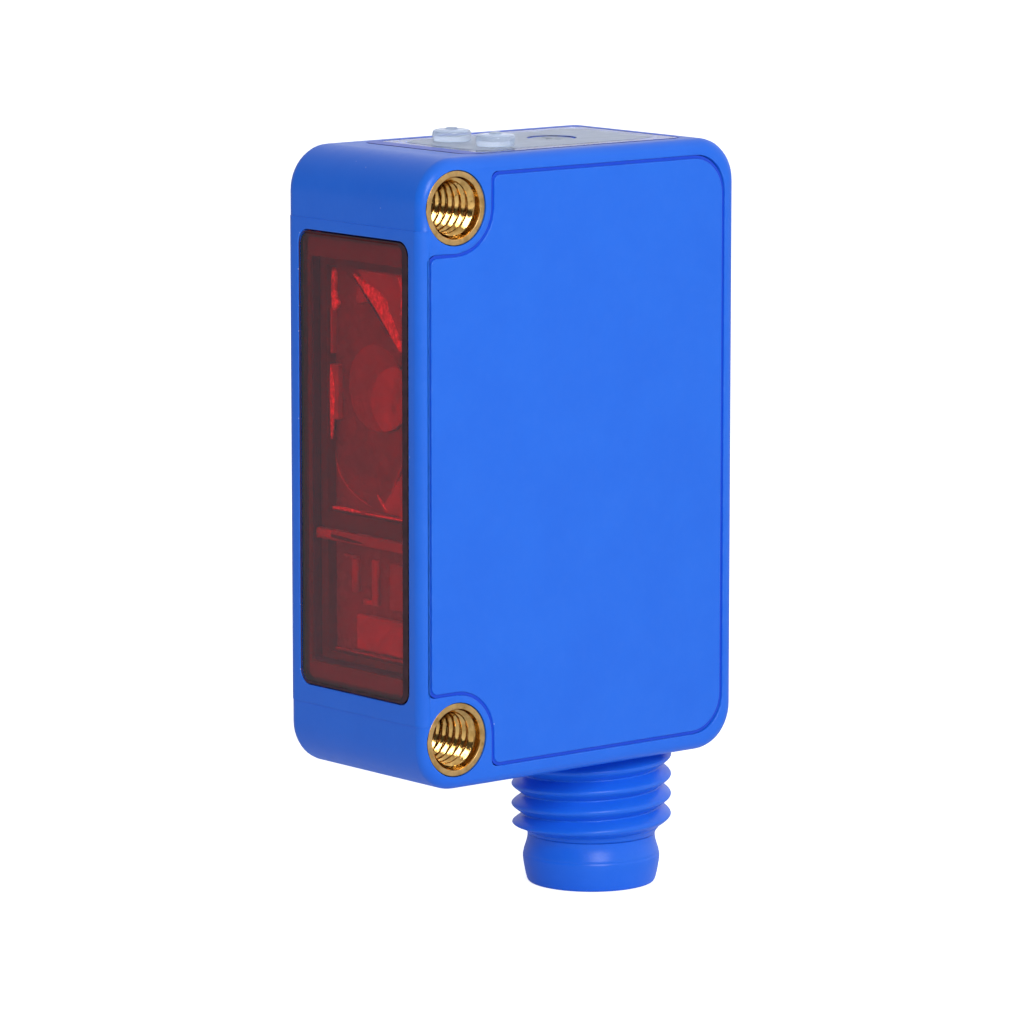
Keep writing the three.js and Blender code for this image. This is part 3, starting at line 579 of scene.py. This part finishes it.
def frame_plate(outer, inner, bottom, top, place):
    """The vertices and faces of a flat ring between two matching outlines. place(point, level) gives the
    vertex."""
    count = len(outer)
    vertices = []
    for outline in (outer, inner):
        for level in (bottom, top):
            vertices += [place(point, level) for point in outline]
    corners = [(0, count), (count, 3 * count), (3 * count, 2 * count), (2 * count, 0)]
    faces = []
    for i in range(count):
        after = (i + 1) % count
        for here, there in corners:
            faces.append((here + i, here + after, there + after, there + i))
    return vertices, faces


SHARP_EDGE = math.radians(30.0)
SAME_PLANE = math.radians(0.6)
SAME_POINT_MM = 1e-4
SLIVER_MM = 0.0015


def softened(node, name, width_mm, segments=2, fine_mm=None, is_fine=None, cuts=()):
    """A copy of a CAD node with its sharp edges rounded. The new edge faces take the second material.
    Edges that is_fine names are rounded by fine_mm instead. Each (point, normal) plane in cuts splits the
    faces that it crosses, so that no face runs right round a hole."""
    bm = bmesh.new()
    bm.from_mesh(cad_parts[node].data)
    bmesh.ops.scale(bm, vec=(1 / MM,) * 3, verts=bm.verts)
    bmesh.ops.remove_doubles(bm, verts=bm.verts, dist=SAME_POINT_MM)
    bmesh.ops.dissolve_limit(bm, angle_limit=SAME_PLANE, verts=bm.verts, edges=bm.edges)
    for point, normal in cuts:
        everything = bm.verts[:] + bm.edges[:] + bm.faces[:]
        bmesh.ops.bisect_plane(bm, geom=everything, plane_co=point, plane_no=normal)

    def round_edges(wanted, width):
        inner = [e for e in bm.edges if len(e.link_faces) == 2]
        edges = [e for e in inner if e.calc_face_angle() > SHARP_EDGE and wanted(e)]
        bmesh.ops.bevel(
            bm,
            geom=edges,
            offset=width,
            offset_type="OFFSET",
            segments=segments,
            profile=0.5,
            affect="EDGES",
            clamp_overlap=False,
            material=1,
        )

    fine = is_fine or (lambda edge: False)
    if fine_mm:
        round_edges(fine, fine_mm)
    round_edges(lambda edge: not fine(edge), width_mm)
    bmesh.ops.remove_doubles(bm, verts=bm.verts, dist=SLIVER_MM)
    bmesh.ops.dissolve_degenerate(bm, dist=SLIVER_MM, edges=bm.edges)
    bmesh.ops.scale(bm, vec=(MM,) * 3, verts=bm.verts)
    mesh = bpy.data.meshes.new(name)
    bm.to_mesh(mesh)
    bm.free()
    for polygon in mesh.polygons:
        polygon.use_smooth = True
    piece = link(name, mesh)
    even_normals(piece)
    return piece


def rounded(points, steps=4):
    """The points of a closed profile of (radius, height, rounding) corners. Each corner becomes a curve."""
    path = []
    count = len(points)
    for i, (radius, height, rounding) in enumerate(points):
        corner = Vector((radius, height))
        if rounding == 0:
            path.append(corner)
            continue
        before = Vector(points[i - 1][:2]) - corner
        after = Vector(points[(i + 1) % count][:2]) - corner
        reach_in = min(rounding, before.length * 0.49)
        reach_out = min(rounding, after.length * 0.49)
        start = corner + before.normalized() * reach_in
        end = corner + after.normalized() * reach_out
        for step in range(steps + 1):
            t = step / steps
            path.append(start * (1 - t) ** 2 + corner * 2 * t * (1 - t) + end * t ** 2)
    return [(point.x, point.y) for point in path]


def turned_body(profile, columns, reshape=None):
    """The vertices and faces of a closed profile turned about Z. Points on the axis become one vertex.
    reshape(radius, height, angle) gives a point's new radius."""
    vertices = []
    rings = []
    for radius, height in profile:
        if radius < 1e-6:
            rings.append([len(vertices)])
            vertices.append((0, 0, height))
            continue
        ring = []
        for column in range(columns):
            angle = 2 * math.pi * column / columns
            out = reshape(radius, height, angle) if reshape else radius
            ring.append(len(vertices))
            vertices.append((out * math.cos(angle), out * math.sin(angle), height))
        rings.append(ring)
    faces = []
    closed = profile[0][0] > 1e-6
    pairs = zip(rings, rings[1:] + rings[:1]) if closed else zip(rings, rings[1:])
    for lower, upper in pairs:
        for column in range(columns):
            after = (column + 1) % columns
            if len(lower) == 1:
                faces.append((lower[0], upper[after], upper[column]))
            elif len(upper) == 1:
                faces.append((lower[column], lower[after], upper[0]))
            else:
                faces.append((lower[column], lower[after], upper[after], upper[column]))
    return vertices, faces


def turned(name, profile, columns, reshape=None):
    return mesh_from(name, *turned_body(profile, columns, reshape))


def settle(piece, move, turn=None):
    """Moves a piece's mesh, turning it first, so that its object stays at the origin."""
    matrix = Matrix.Translation(Vector(move))
    if turn:
        matrix = matrix @ turn
    piece.data.transform(matrix)


def dress(piece, slot, *materials, body=HOUSING, replaces=()):
    """Gives a piece its materials, its body and the CAD nodes that it stands for. slot is not used."""
    for material in materials:
        piece.data.materials.append(material)
    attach(piece, body)
    if replaces:
        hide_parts(*replaces)


# ---------------------------------------------------------------- housing and cover

EDGE_MM = 0.06
FINE_EDGE_MM = 0.012
BAND_STEP_Z_MM = 11.8
BAND_STEP_REACH_MM = 0.4
BAND_BACK_Y_MM = -1.5
SMALL_FACE_MM2 = 0.9


def make_housing(blue, blue_edge_dust_and_sheen):
    """The housing shell. The step at each end of the raised front band and the edges of the bush holes are
    only just broken, because they lie close beside other edges."""
    cuts = [((0, 0, 0), (0, 1, 0)), ((MIDDLE_X / MM, 0, 0), (1, 0, 0))]
    holes = []
    for node in ("upper_threaded_bush", "lower_threaded_bush"):
        low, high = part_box(node)
        centre = (low + high) / 2 / MM
        cuts.append((centre, (0, 0, 1)))
        holes.append((centre.yz, (high.z - low.z) / 2 / MM + 0.05))

    def is_delicate(edge):
        ends = [v.co for v in edge.verts]
        if any(all((end.yz - centre).length < reach for end in ends) for centre, reach in holes):
            return True
        if min(face.calc_area() for face in edge.link_faces) > SMALL_FACE_MM2:
            return False
        is_front = all(end.y < BAND_BACK_Y_MM for end in ends)
        return is_front and all(abs(abs(end.z) - BAND_STEP_Z_MM) < BAND_STEP_REACH_MM for end in ends)

    piece = softened("housing", "housing_shell", EDGE_MM, 2, FINE_EDGE_MM, is_delicate, cuts)
    dress(piece, "blue_plastic", blue, blue_edge_dust_and_sheen, replaces=["housing"])


JOINT_DEPTH_MM = 0.08
JOINT_WIDTH_MM = 0.154


def make_cover(blue, blue_edge_dust_and_sheen, groove_shade_blue):
    """The cover plate, and a darker blue sheet a little below its face that fills the gap round it: painted
    shade in the groove between cover and housing.
    """
    piece = softened("side_cover", "cover_plate", EDGE_MM, segments=3)
    dress(piece, "blue_plastic", blue, blue_edge_dust_and_sheen, replaces=["side_cover"])
    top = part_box("side_cover")[1].x / MM - JOINT_DEPTH_MM
    edge = face_outline("side_cover", axis=0)
    # A darker blue sheet in the gap round the cover: painted shade of the groove.
    groove_shade = Bodies()
    groove_shade.add(frame_plate(
        moved_out(edge, JOINT_WIDTH_MM),
        moved_out(edge, 0.003),
        top - 0.3,
        top,
        lambda point, level: (level, point.x, point.y),
    ))
    piece = groove_shade.piece("cover_groove_shade", flat=True)
    dress(piece, "blue_plastic", groove_shade_blue)


# ---------------------------------------------------------------- bushes

THREAD_PITCH_MM = 0.5
THREAD_MAJOR_MM = 1.52
THREAD_MINOR_MM = 1.23
THREAD_FLAT = 0.12
THREAD_ROWS = 14
BUSH_COLUMNS = 96
BUSH_LEAD_MM = 0.15
BUSH_RIM_MM = 0.27
BUSH_MOUTH_MM = 0.40
BUSH_MOUTH_TAPER_MM = 0.13


def make_bush(node, name, bore_metal, face_metal):
    """A brass sleeve with a real M3 thread cut through it and a slightly tapered mouth at each end. The
    thread sizes are radii."""
    low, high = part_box(node)
    length = (high.x - low.x) / MM
    outer = (high.z - low.z) / 2 / MM
    rim = outer - BUSH_RIM_MM
    threaded = length - 2 * BUSH_LEAD_MM
    rows = round(threaded / THREAD_PITCH_MM * THREAD_ROWS)
    outside = rounded([
        (rim, 0, 0.03),
        (outer, 0, 0.05),
        (outer, length, 0.05),
        (rim, length, 0.03),
        (THREAD_MAJOR_MM - 0.1, length - 0.1, 0),
        (THREAD_MAJOR_MM - 0.1, 0.1, 0),
    ])[:-2]
    inside = [(THREAD_MINOR_MM, length - BUSH_LEAD_MM - threaded * i / rows) for i in range(rows + 1)]

    def cut_thread(radius, height, angle):
        if radius > THREAD_MINOR_MM + 1e-6:
            return radius
        turns = height / THREAD_PITCH_MM - angle / (2 * math.pi)
        across = abs(turns - round(turns)) * 2
        groove = min(max((across - THREAD_FLAT) / (1 - 2 * THREAD_FLAT), 0.0), 1.0)
        thread = THREAD_MINOR_MM + (THREAD_MAJOR_MM - THREAD_MINOR_MM) * groove
        depth = min(height, length - height)
        if depth >= BUSH_MOUTH_MM:
            return thread
        taper = rim - BUSH_MOUTH_TAPER_MM * depth / BUSH_MOUTH_MM
        return max(taper, thread if depth > BUSH_MOUTH_MM * 0.7 else 0)

    piece = turned(name, outside + inside, BUSH_COLUMNS, cut_thread)
    for polygon in piece.data.polygons:
        flat = abs(polygon.normal.z) > 0.7 and Vector(polygon.center[:2]).length > rim * 0.98 * MM
        polygon.material_index = 1 if flat else 0
    centre = Vector((low.x, (low.y + high.y) / 2, (low.z + high.z) / 2))
    settle(piece, centre, Matrix.Rotation(math.pi / 2, 4, "Y"))
    dress(piece, "brass", bore_metal, face_metal, replaces=[node])


# ---------------------------------------------------------------- window and optics

BORDER_WIDTH_MM = 0.32
# Lit and shaded copies of one plastic behind the pane: painted shade, painted half light, painted glint, and
# a painted reflection streak.
SHADED_LOOK, HALF_LIT_LOOK, GLINT_LOOK, STREAK_LOOK = range(4)


def across_window(point, level):
    """The vertex of an (X, Z) outline point at a depth along Y."""
    return point.x, level, point.y


def make_window(pane, seal, matt_black, painted_rim_shade_red):
    """The pane, its gasket, a black ring behind its edge, and a dark red rim on its face, widest on its near
    side, that paints the shade of the gap and the pane's side wall seen there.
    """
    piece = softened("front_window", "window_pane", 0.05)
    dress(piece, "red_pane", pane, pane, replaces=["front_window"])
    piece = softened("window_seal", "window_gasket", 0.04)
    dress(piece, "black_rubber", seal, seal, replaces=["window_seal"])
    # A black ring just behind the pane's edge.
    low, high = (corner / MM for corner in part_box("front_window"))
    edge = rounded_rectangle((low.x + 0.01, low.z + 0.01), (high.x - 0.01, high.z - 0.01), 0.64)
    inside = moved_out(edge, -BORDER_WIDTH_MM)
    border = Bodies()
    border.add(frame_plate(edge, inside, high.y + 0.003, high.y + 0.02, across_window))
    dress(border.piece("pane_border", flat=True), "black_rubber", matt_black)
    # A dark red rim on the pane's face, widest on the near side: painted shade of the gap and the pane's side
    # wall seen there.
    edge = rounded_rectangle((low.x + 0.02, low.z + 0.02), (high.x - 0.02, high.z - 0.02), 0.63)
    inside = rounded_rectangle((low.x + 0.08, low.z + 0.14), (high.x - 0.42, high.z - 0.09), 0.45)
    shaded_rim = Bodies()
    shaded_rim.add(frame_plate(edge, inside, low.y - 0.012, low.y - 0.002, across_window))
    dress(shaded_rim.piece("pane_rim_shade", flat=True), "red_pane", painted_rim_shade_red)


def make_receiver_optics(looks):
    """The receiver's moulded lens block: a slab, a round lens, a corner prism with a bright curved facet,
    and narrow bright edges, all in opaque lit and shaded copies of one plastic: the bright facet is a
    painted reflection streak, and the bright pads, edges and beads are painted highlights. looks are the
    materials from painted shade to painted glint, then the painted streak."""
    low, high = (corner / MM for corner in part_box("receiver_lens"))
    face = low.y + 0.30
    front = low.y
    side = low.x - 0.02
    block = Bodies()
    block.add(rounded_box((low.x, face, low.z), high, 0.06), SHADED_LOOK)

    reach = 2.1
    lens_z = 3.7
    profile = [(0, 0.2)] + rounded([
        (reach, 0.2, 0.02),
        (reach, -0.04, 0.05),
        (reach - 0.08, -0.06, 0.05),
        (reach * 0.55, -0.16, 0.5),
        (0, -0.20, 0),
        (0, 0.2, 0),
    ], 6)[:-1]
    vertices, faces = turned_body(profile, 72)
    lens = [(x + MIDDLE_X / MM, z + face, y + lens_z) for x, y, z in vertices], faces
    block.add(lens, HALF_LIT_LOOK)

    spot = [(6.0, 1.7), (7.6, 2.5), (7.9, 4.0), (7.0, 4.9), (5.6, 4.4), (5.0, 3.0)]
    prism = [(3.9, 9.3), (5.0, 8.4), (6.0, 7.6), (7.0, 6.3), (7.9, 6.0), (8.3, 7.5), (8.1, 9.2), (6.2, 9.4)]
    facet_below = [(3.6, 9.1), (3.8, 8.8), (4.3, 8.3), (5.1, 7.7), (5.7, 7.1), (6.4, 6.4), (7.2, 5.6)]
    facet_above = [(7.25, 6.1), (6.8, 6.8), (6.3, 7.6), (6.0, 8.15), (4.8, 8.65)]
    small_facet = [(3.8, 7.7), (4.7, 7.85), (4.5, 8.2), (4.0, 8.6)]
    prism_edge = [(7.2, 7.4), (7.5, 8.0), (7.45, 9.1), (7.0, 9.15), (7.25, 8.6)]
    side_facet = [(side, 7.3), (2.3, 7.3), (2.45, 7.6), (2.25, 7.9), (2.2, 9.0), (side, 9.1)]
    low_facet = [(5.7, -2.1), (6.8, -2.3), (7.9, -2.2), (8.1, 0.9), (7.4, 0.0), (6.6, -0.9)]
    side_glint = [(side, 1.2), (side + 0.2, 1.4), (side + 0.35, 3.3), (side, 4.5)]
    # Raised pads that paint highlights and reflection streaks of the clear lens.
    for points, level, rise, edge, look in (
        (spot, face - 0.1, 0.14, 0.05, GLINT_LOOK),
        (prism, face, 0.10, 0.05, GLINT_LOOK),
        (facet_below + facet_above, face, 0.22, 0.08, STREAK_LOOK),
        (small_facet, face, 0.15, 0.05, GLINT_LOOK),
        (prism_edge, face - 0.08, 0.1, 0.05, STREAK_LOOK),
        (side_facet, face, 0.22, 0.05, STREAK_LOOK),
        (low_facet, face, 0.08, 0.05, GLINT_LOOK),
        (side_glint, front + 0.02, 0.05, 0.05, STREAK_LOOK),
    ):
        block.add(pad(points, level, rise, edge), look)

    # Narrow bars that paint highlights along the block's edges.
    back = face + 0.1
    for corner, opposite, radius in (
        ((4.1, front + 0.15, high.z - 0.16), (high.x - 0.1, back, high.z), 0.04),
        ((side, front, 5.1), (side + 0.14, back, 7.3), 0.05),
        ((side, front, 1.9), (side + 0.6, back, 4.6), 0.08),
        ((low.x, front + 0.05, low.z), (high.x, back, low.z + 0.16), 0.04),
    ):
        block.add(rounded_box(corner, opposite, radius), GLINT_LOOK)

    # Beads that paint glints and reflection streaks.
    sill = low.z + 0.12
    for points, width, height, level, look in (
        ([(2.0, 0.4), (2.1, -1.6), (5.4, -2.2)], 0.12, 0.08, face, GLINT_LOOK),
        ([(7.9, 1.0), (6.6, -0.4), (6.2, -2.0)], 0.2, 0.14, face, GLINT_LOOK),
        ([(5.2, -1.4), (5.6, -1.8), (6.3, -2.3)], 0.12, 0.12, face, STREAK_LOOK),
        ([(side, sill), (3.0, sill + 0.02), (4.3, sill)], 0.2, 0.1, front + 0.06, STREAK_LOOK),
        ([(4.5, sill - 0.02), (6.2, sill), (8.2, sill - 0.02)], 0.1, 0.1, front + 0.06, STREAK_LOOK),
    ):
        block.add(rib(points, width, height, level), look)
    dress(block.piece("receiver_optics"), "clear_plastic", *looks, replaces=["receiver_lens"])


def make_emitter_optics(looks):
    """The emitter's moulded lens block: a slab, upright bars and a rounded lens pad below them, in lit and
    shaded copies of one plastic; the bright bars and pad are painted highlights.
    """
    low, high = (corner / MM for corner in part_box("emitter_lens"))
    face = low.y + 0.30
    front = low.y
    back = face + 0.1
    block = Bodies()
    for corner, opposite, radius, look in (
        ((low.x, face, low.z), high, 0.06, SHADED_LOOK),
        ((2.7, face - 0.08, -4.75), (3.9, back, -4.55), 0.05, HALF_LIT_LOOK),
        ((3.45, face - 0.22, -6.35), (3.9, back, -4.7), 0.08, GLINT_LOOK),
        ((4.95, face - 0.18, -6.75), (5.4, back, -4.6), 0.08, GLINT_LOOK),
        ((4.2, face - 0.12, -6.85), (5.4, back, -6.62), 0.05, GLINT_LOOK),
        ((6.2, face - 0.10, -6.9), (7.6, back, -4.6), 0.08, HALF_LIT_LOOK),
        ((low.x + 0.1, front + 0.1, low.z), (high.x, back, low.z + 0.14), 0.04, HALF_LIT_LOOK),
    ):
        block.add(rounded_box(corner, opposite, radius), look)
    lens = rounded_box((3.9, front, low.z + 0.25), (high.x - 0.1, back, -7.35), 0.14, segments=3)
    block.add(lens, GLINT_LOOK)
    dress(block.piece("emitter_optics"), "clear_plastic", *looks[:3], replaces=["emitter_lens"])


def make_divider(looks, matt_black):
    """A bar across the optics frame between its bays, in the painted half-light look, with a painted
    highlight on its near end and a dark slit.
    """
    low, high = (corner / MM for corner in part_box("optics_frame"))
    front = low.y - 0.36
    back = low.y - 0.01
    left = low.x + 0.05
    bar = Bodies()
    bar.add(rounded_box((left, front, -3.88), (high.x - 0.05, back, -3.36), 0.05))
    bar.add(rounded_box((left, front - 0.03, -3.78), (left + 1.2, back, -3.4), 0.05), mark=1)
    bar.add(rib([(1.9, -3.62), (3.5, -3.68), (5.2, -3.75)], 0.18, 0.04, front + 0.002), mark=2)
    dress(bar.piece("divider_bar"), "black_plastic", looks[HALF_LIT_LOOK], looks[GLINT_LOOK], matt_black)


# ---------------------------------------------------------------- light guide and domes

FILM_MARGIN_MM = 0.95
FILM_FRONT_MM = 7.0
FILM_SQUARENESS = 0.16
FILM_COLUMNS = 96


def on_top(point, level):
    """The vertex of an (X, Y) outline point at a height along Z."""
    return point.x, point.y, level


def squared(value):
    """Pushes a cosine or sine towards 1 or -1, which makes a circle a square with round corners."""
    return math.copysign(abs(value) ** FILM_SQUARENESS, value)


def make_light_guide(guide, film, seam_shade_blue):
    """The clear top plate, with a thin matt film round the adjuster and a darker blue ring along its edge
    that paints the shade of the groove round the plate.
    """
    piece = softened("light_guide", "light_guide_plate", 0.07, segments=3)
    dress(piece, "clear_plastic", guide, guide, replaces=["light_guide"])
    low, high = (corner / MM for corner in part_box("light_guide"))
    screw_low, screw_high = (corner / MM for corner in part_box("adjuster_spindle"))
    centre = (screw_low + screw_high).xy / 2
    hole = (screw_high.x - screw_low.x) / 2 + 0.03
    half_width = (high.x - low.x) / 2 - FILM_MARGIN_MM
    outer = []
    inner = []
    for i in range(FILM_COLUMNS):
        angle = 2 * math.pi * i / FILM_COLUMNS
        across, along = math.cos(angle), math.sin(angle)
        reach = high.y - FILM_MARGIN_MM - centre.y if along > 0 else FILM_FRONT_MM
        outer.append(centre + Vector((squared(across) * half_width, squared(along) * reach)))
        inner.append(centre + Vector((across, along)) * hole)
    sheet = Bodies()
    sheet.add(frame_plate(outer, inner, high.z + 0.002, high.z + 0.014, on_top))
    dress(sheet.piece("guide_film", flat=True), "clear_plastic", film)

    edge = rounded_rectangle((low.x + 0.04, low.y + 0.04), (high.x - 0.04, high.y - 0.04), 0.6)
    inside = rounded_rectangle((low.x + 0.10, low.y + 1.0), (high.x - 0.10, high.y - 0.10), 0.5)
    # A darker blue ring on the plate's edge: painted shade of the groove round the plate.
    shaded_seam = Bodies()
    shaded_seam.add(frame_plate(edge, inside, high.z + 0.002, high.z + 0.012, on_top))
    dress(shaded_seam.piece("guide_seam_shade", flat=True), "blue_plastic", seam_shade_blue)


def make_dome(node, name, clear):
    """An indicator's clear light pipe, with a domed head and a small gate mark on top."""
    low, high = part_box(node)
    top = high.z / MM - 0.06
    bottom = low.z / MM
    head = (high.x - low.x) / 2 / MM
    guide_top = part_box("light_guide")[1].z / MM + 0.02
    profile = [(0, bottom)] + rounded([
        (head - 0.15, bottom, 0.05),
        (head - 0.15, guide_top, 0.02),
        (head - 0.04, guide_top, 0.04),
        (head + 0.01, guide_top + 0.3, 0.2),
        (head - 0.05, top - 0.09, 0.42),
        (0.32, top - 0.10, 0.06),
        (0.27, top, 0.06),
        (0, top, 0),
        (0, bottom, 0),
    ], 8)[:-1]
    piece = turned(name, profile, 72)
    settle(piece, ((low.x + high.x) / 2, (low.y + high.y) / 2, 0))
    dress(piece, "clear_plastic", clear, replaces=[node])


def make_adjuster(white):
    piece = softened("adjuster_spindle", "adjuster_screw", 0.04)
    dress(piece, "spindle_plastic", white, white, body=ADJUSTER, replaces=["adjuster_spindle"])


# ---------------------------------------------------------------- plug

PLUG_ROWS_PER_TURN = 22
PLUG_COLUMNS = 144
PLUG_BORE_MM = 2.9
PLUG_CREST_MM = 3.97
PLUG_ROOT_MM = 3.40
PLUG_THREAD_LENGTH_MM = 4.3
PLUG_THREAD_START = 0.60
PLUG_CREST_ROUNDING = 0.32
PLUG_RUN_OUT_MM = 0.45
PLUG_NECK_DEPTH_MM = 0.18


def make_plug_body(blue):
    """The plug: an M8 thread of 1 mm pitch that runs out into a neck, and a snap collar below it."""
    base = housing_low.z / MM
    end = plug_low.z / MM
    top = plug_high.z / MM
    root = PLUG_ROOT_MM
    bore = PLUG_BORE_MM
    thread_top = base - 0.12
    thread_bottom = thread_top - PLUG_THREAD_LENGTH_MM
    rows = round(PLUG_THREAD_LENGTH_MM * PLUG_ROWS_PER_TURN)
    lower = rounded([
        (bore, end + 0.1, 0.12),
        (bore + 0.12, end, 0.06),
        (3.17, end, 0.34),
        (3.29, end + 0.45, 0.3),
        (3.40, end + 1.12, 0.2),
        (3.40, end + 1.36, 0.05),
        (3.365, end + 1.44, 0.03),
        (3.36, end + 1.54, 0.06),
        (3.30, end + 1.72, 0.1),
        (3.175, end + 2.12, 0.4),
        (3.165, end + 2.5, 0.15),
    ], 5)
    threaded = [(root, thread_bottom + PLUG_THREAD_LENGTH_MM * i / rows) for i in range(rows + 1)]
    upper = rounded([
        (3.95, thread_top + 0.04, 0.05),
        (3.95, top - 0.7, 0.05),
        (3.95, top, 0.05),
        (bore, top, 0.05),
    ], 2)

    def helix(radius, height, angle):
        if abs(radius - root) > 1e-6 or height < thread_bottom - 1e-6:
            return radius
        turns = height - thread_top - angle / (2 * math.pi) + PLUG_THREAD_START
        across = abs(turns - round(turns)) * 2
        foot = math.hypot(1, PLUG_CREST_ROUNDING)
        ridge = (foot - math.hypot(across, PLUG_CREST_ROUNDING)) / (foot - PLUG_CREST_ROUNDING)
        fade = min(1.0, (height - thread_bottom) / PLUG_RUN_OUT_MM)
        fade = fade * fade * (3 - 2 * fade)
        neck = root - PLUG_NECK_DEPTH_MM * (1 - fade)
        return neck + (PLUG_CREST_MM - root) * ridge * fade

    piece = turned("plug_body", lower + threaded + upper, PLUG_COLUMNS, helix)
    socket_low, socket_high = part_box("pin_carrier")
    centre = (socket_low + socket_high) / 2
    settle(piece, (centre.x, centre.y, 0))
    dress(piece, "blue_plastic", blue, replaces=["plug_shell"])


def make_contacts(black, gold):
    """The plug's black insert and its four round-nosed contact pins."""
    piece = softened("pin_carrier", "pin_insert", 0.06)
    dress(piece, "black_plastic", black, black, replaces=["pin_carrier"])
    for number in range(1, 5):
        node = f"pin_{number}"
        low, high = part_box(node)
        radius = (high.x - low.x) / 2 / MM
        tip, foot = low.z / MM, high.z / MM
        profile = [(0, tip)] + rounded([
            (radius * 0.55, tip, 0.12),
            (radius, tip + 0.42, 0.25),
            (radius, foot, 0.08),
            (0, foot, 0),
            (0, tip, 0),
        ], 5)[:-1]
        pin = turned(f"contact_{number}", profile, 40)
        settle(pin, ((low.x + high.x) / 2, (low.y + high.y) / 2, 0))
        dress(pin, "gold_plate", gold, replaces=[node])


# ---------------------------------------------------------------- assembly

def dress_inner_nodes():
    """The CAD nodes that stay as they are, with their materials."""
    black = plain_plastic("chassis_black", (0.06, 0.05, 0.052, 1), 0.7, 0.45, 0.6)
    chip = plain_plastic("chip_epoxy", (0.03, 0.03, 0.033, 1), 0.75, 0.4, 0.6, 3.0)
    board = circuit_board("solder_mask_green")
    flex = plain_plastic("polyimide_film", (0.55, 0.26, 0.05, 1), 0.8, 0.2, 0.35, 1.2)
    rubber = plain_plastic("seal_rubber", (0.02, 0.02, 0.022, 1), 0.7, 0.6, 0.8)
    trimmer = plain_plastic("trimmer_blue", (0.03, 0.07, 0.2, 1), 0.8, 0.35, 0.5)
    ivory = plain_plastic("wiper_ivory", (0.70, 0.66, 0.55, 1), 0.85, 0.4, 0.55)
    tantalum = plain_plastic("tantalum_yellow", (0.70, 0.42, 0.05, 1), 0.8, 0.35, 0.5)
    ceramic = plain_plastic("fired_ceramic", (0.42, 0.30, 0.19, 1), 0.8, 0.4, 0.6, 4.0)
    ferrite = plain_plastic("sintered_ferrite", (0.05, 0.05, 0.055, 1), 0.7, 0.5, 0.7, 5.0)
    resin = clear_plastic("led_resin", (0.92, 0.88, 0.76, 1), 0.1, 0.2)
    looks = {
        black: ["optics_frame", "receiver_aperture"],
        chip: [
            "receiver_chip",
            "signal_chip",
            "controller_chip",
            "output_driver",
            "supply_regulator",
            "protection_diode",
        ],
        board: ["main_board", "display_board", "plug_board", "optics_board"],
        flex: ["optics_flex", "display_flex", "plug_flex"],
        rubber: ["adjuster_seal", "plug_seal"],
        trimmer: ["trimmer_body"],
        ivory: ["trimmer_wiper"],
        tantalum: ["storage_capacitor"],
        ceramic: ["bypass_capacitor_1", "bypass_capacitor_2", "bypass_capacitor_3"],
        ferrite: ["filter_inductor"],
        resin: ["emitter_led", "power_led", "output_led"],
    }
    for material, nodes in looks.items():
        for node in nodes:
            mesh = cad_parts[node].data
            mesh.materials.clear()
            mesh.materials.append(material)


def main():
    bpy.context.scene.view_settings.view_transform = "Standard"
    add_camera()
    add_lights()
    add_world()
    add_floor()
    blue = blue_plastic("moulded_blue", 0.004, 0.05)
    # The edge faces: dust and wear, with a lighter colour and dense specks that also paint highlights along
    # the edges.
    blue_edge_dust_and_sheen = blue_plastic("moulded_blue_edge_dust_and_sheen", 0.45, 0.35)
    # Painted shade for the grooves round the cover and round the light guide.
    groove_shade_blue = blue_plastic("painted_groove_shade_blue", 0.15, 0.0, BLUE_GROOVE_SHADE, BLUE_GROOVE_SHADE)
    seal = plain_plastic("gasket_black", (0.09, 0.085, 0.085, 1), 0.8, 0.5, 0.7)
    matt_black = plain_plastic("near_black_matt", (0.008, 0.008, 0.009, 1), 0.8, 0.5, 0.7)
    black = plain_plastic("insert_black", (0.02, 0.02, 0.022, 1), 0.8, 0.4, 0.55)
    make_housing(blue, blue_edge_dust_and_sheen)
    make_cover(blue, blue_edge_dust_and_sheen, groove_shade_blue)
    bore = brass("thread_brass", (0.80, 0.50, 0.16, 1), (0.50, 0.27, 0.07, 1), 0.07, 0.15, 0.05)
    rim = brass("rim_brass", (0.74, 0.46, 0.17, 1), (0.48, 0.28, 0.09, 1), 0.30, 0.45, 0.45)
    make_bush("upper_threaded_bush", "upper_bush", bore, rim)
    make_bush("lower_threaded_bush", "lower_bush", bore, rim)
    # Dark red that paints the shade at the pane's edge.
    painted_rim_shade_red = plain_plastic("painted_rim_shade_red", (0.045, 0.003, 0.012, 1), 0.6, 0.45, 0.6)
    make_window(red_pane("clear_red"), seal, matt_black, painted_rim_shade_red)
    # Lit and shaded copies of one plastic, from painted shade to painted glint, then a painted reflection
    # streak.
    looks = [
        plain_plastic("lens_block_painted_shade", (0.13, 0.12, 0.12, 1), 0.7, 0.2, 0.35, 0.8),
        plain_plastic("lens_block_painted_half_light", (0.20, 0.18, 0.18, 1), 0.75, 0.2, 0.35, 0.9),
        plain_plastic("lens_block_painted_glint", (0.32, 0.28, 0.28, 1), 0.6, 0.2, 0.35, 1.2),
        painted_streak_facet("prism_painted_streak"),
    ]
    make_receiver_optics(looks)
    make_emitter_optics(looks)
    make_divider(looks, matt_black)
    guide = clear_plastic("guide_acrylic", (0.70, 0.80, 0.94, 1), 0.12, 0.22)
    film = clear_plastic("guide_matt_film", (0.62, 0.68, 0.76, 1), 0.35, 0.45, 2.0, 0.5)
    make_light_guide(guide, film, groove_shade_blue)
    clear = clear_plastic("dome_acrylic", (0.76, 0.84, 0.94, 1), 0.10, 0.2, 1.2, 0.75)
    make_dome("power_light_pipe", "power_dome", clear)
    make_dome("output_light_pipe", "output_dome", clear)
    make_adjuster(plain_plastic("screw_white", (0.50, 0.55, 0.62, 1), 0.9, 0.3, 0.45))
    gold = plated_metal("contact_gold", (0.95, 0.72, 0.32, 1), (0.80, 0.55, 0.20, 1))
    make_plug_body(blue)
    make_contacts(black, gold)
    dress_inner_nodes()


main()
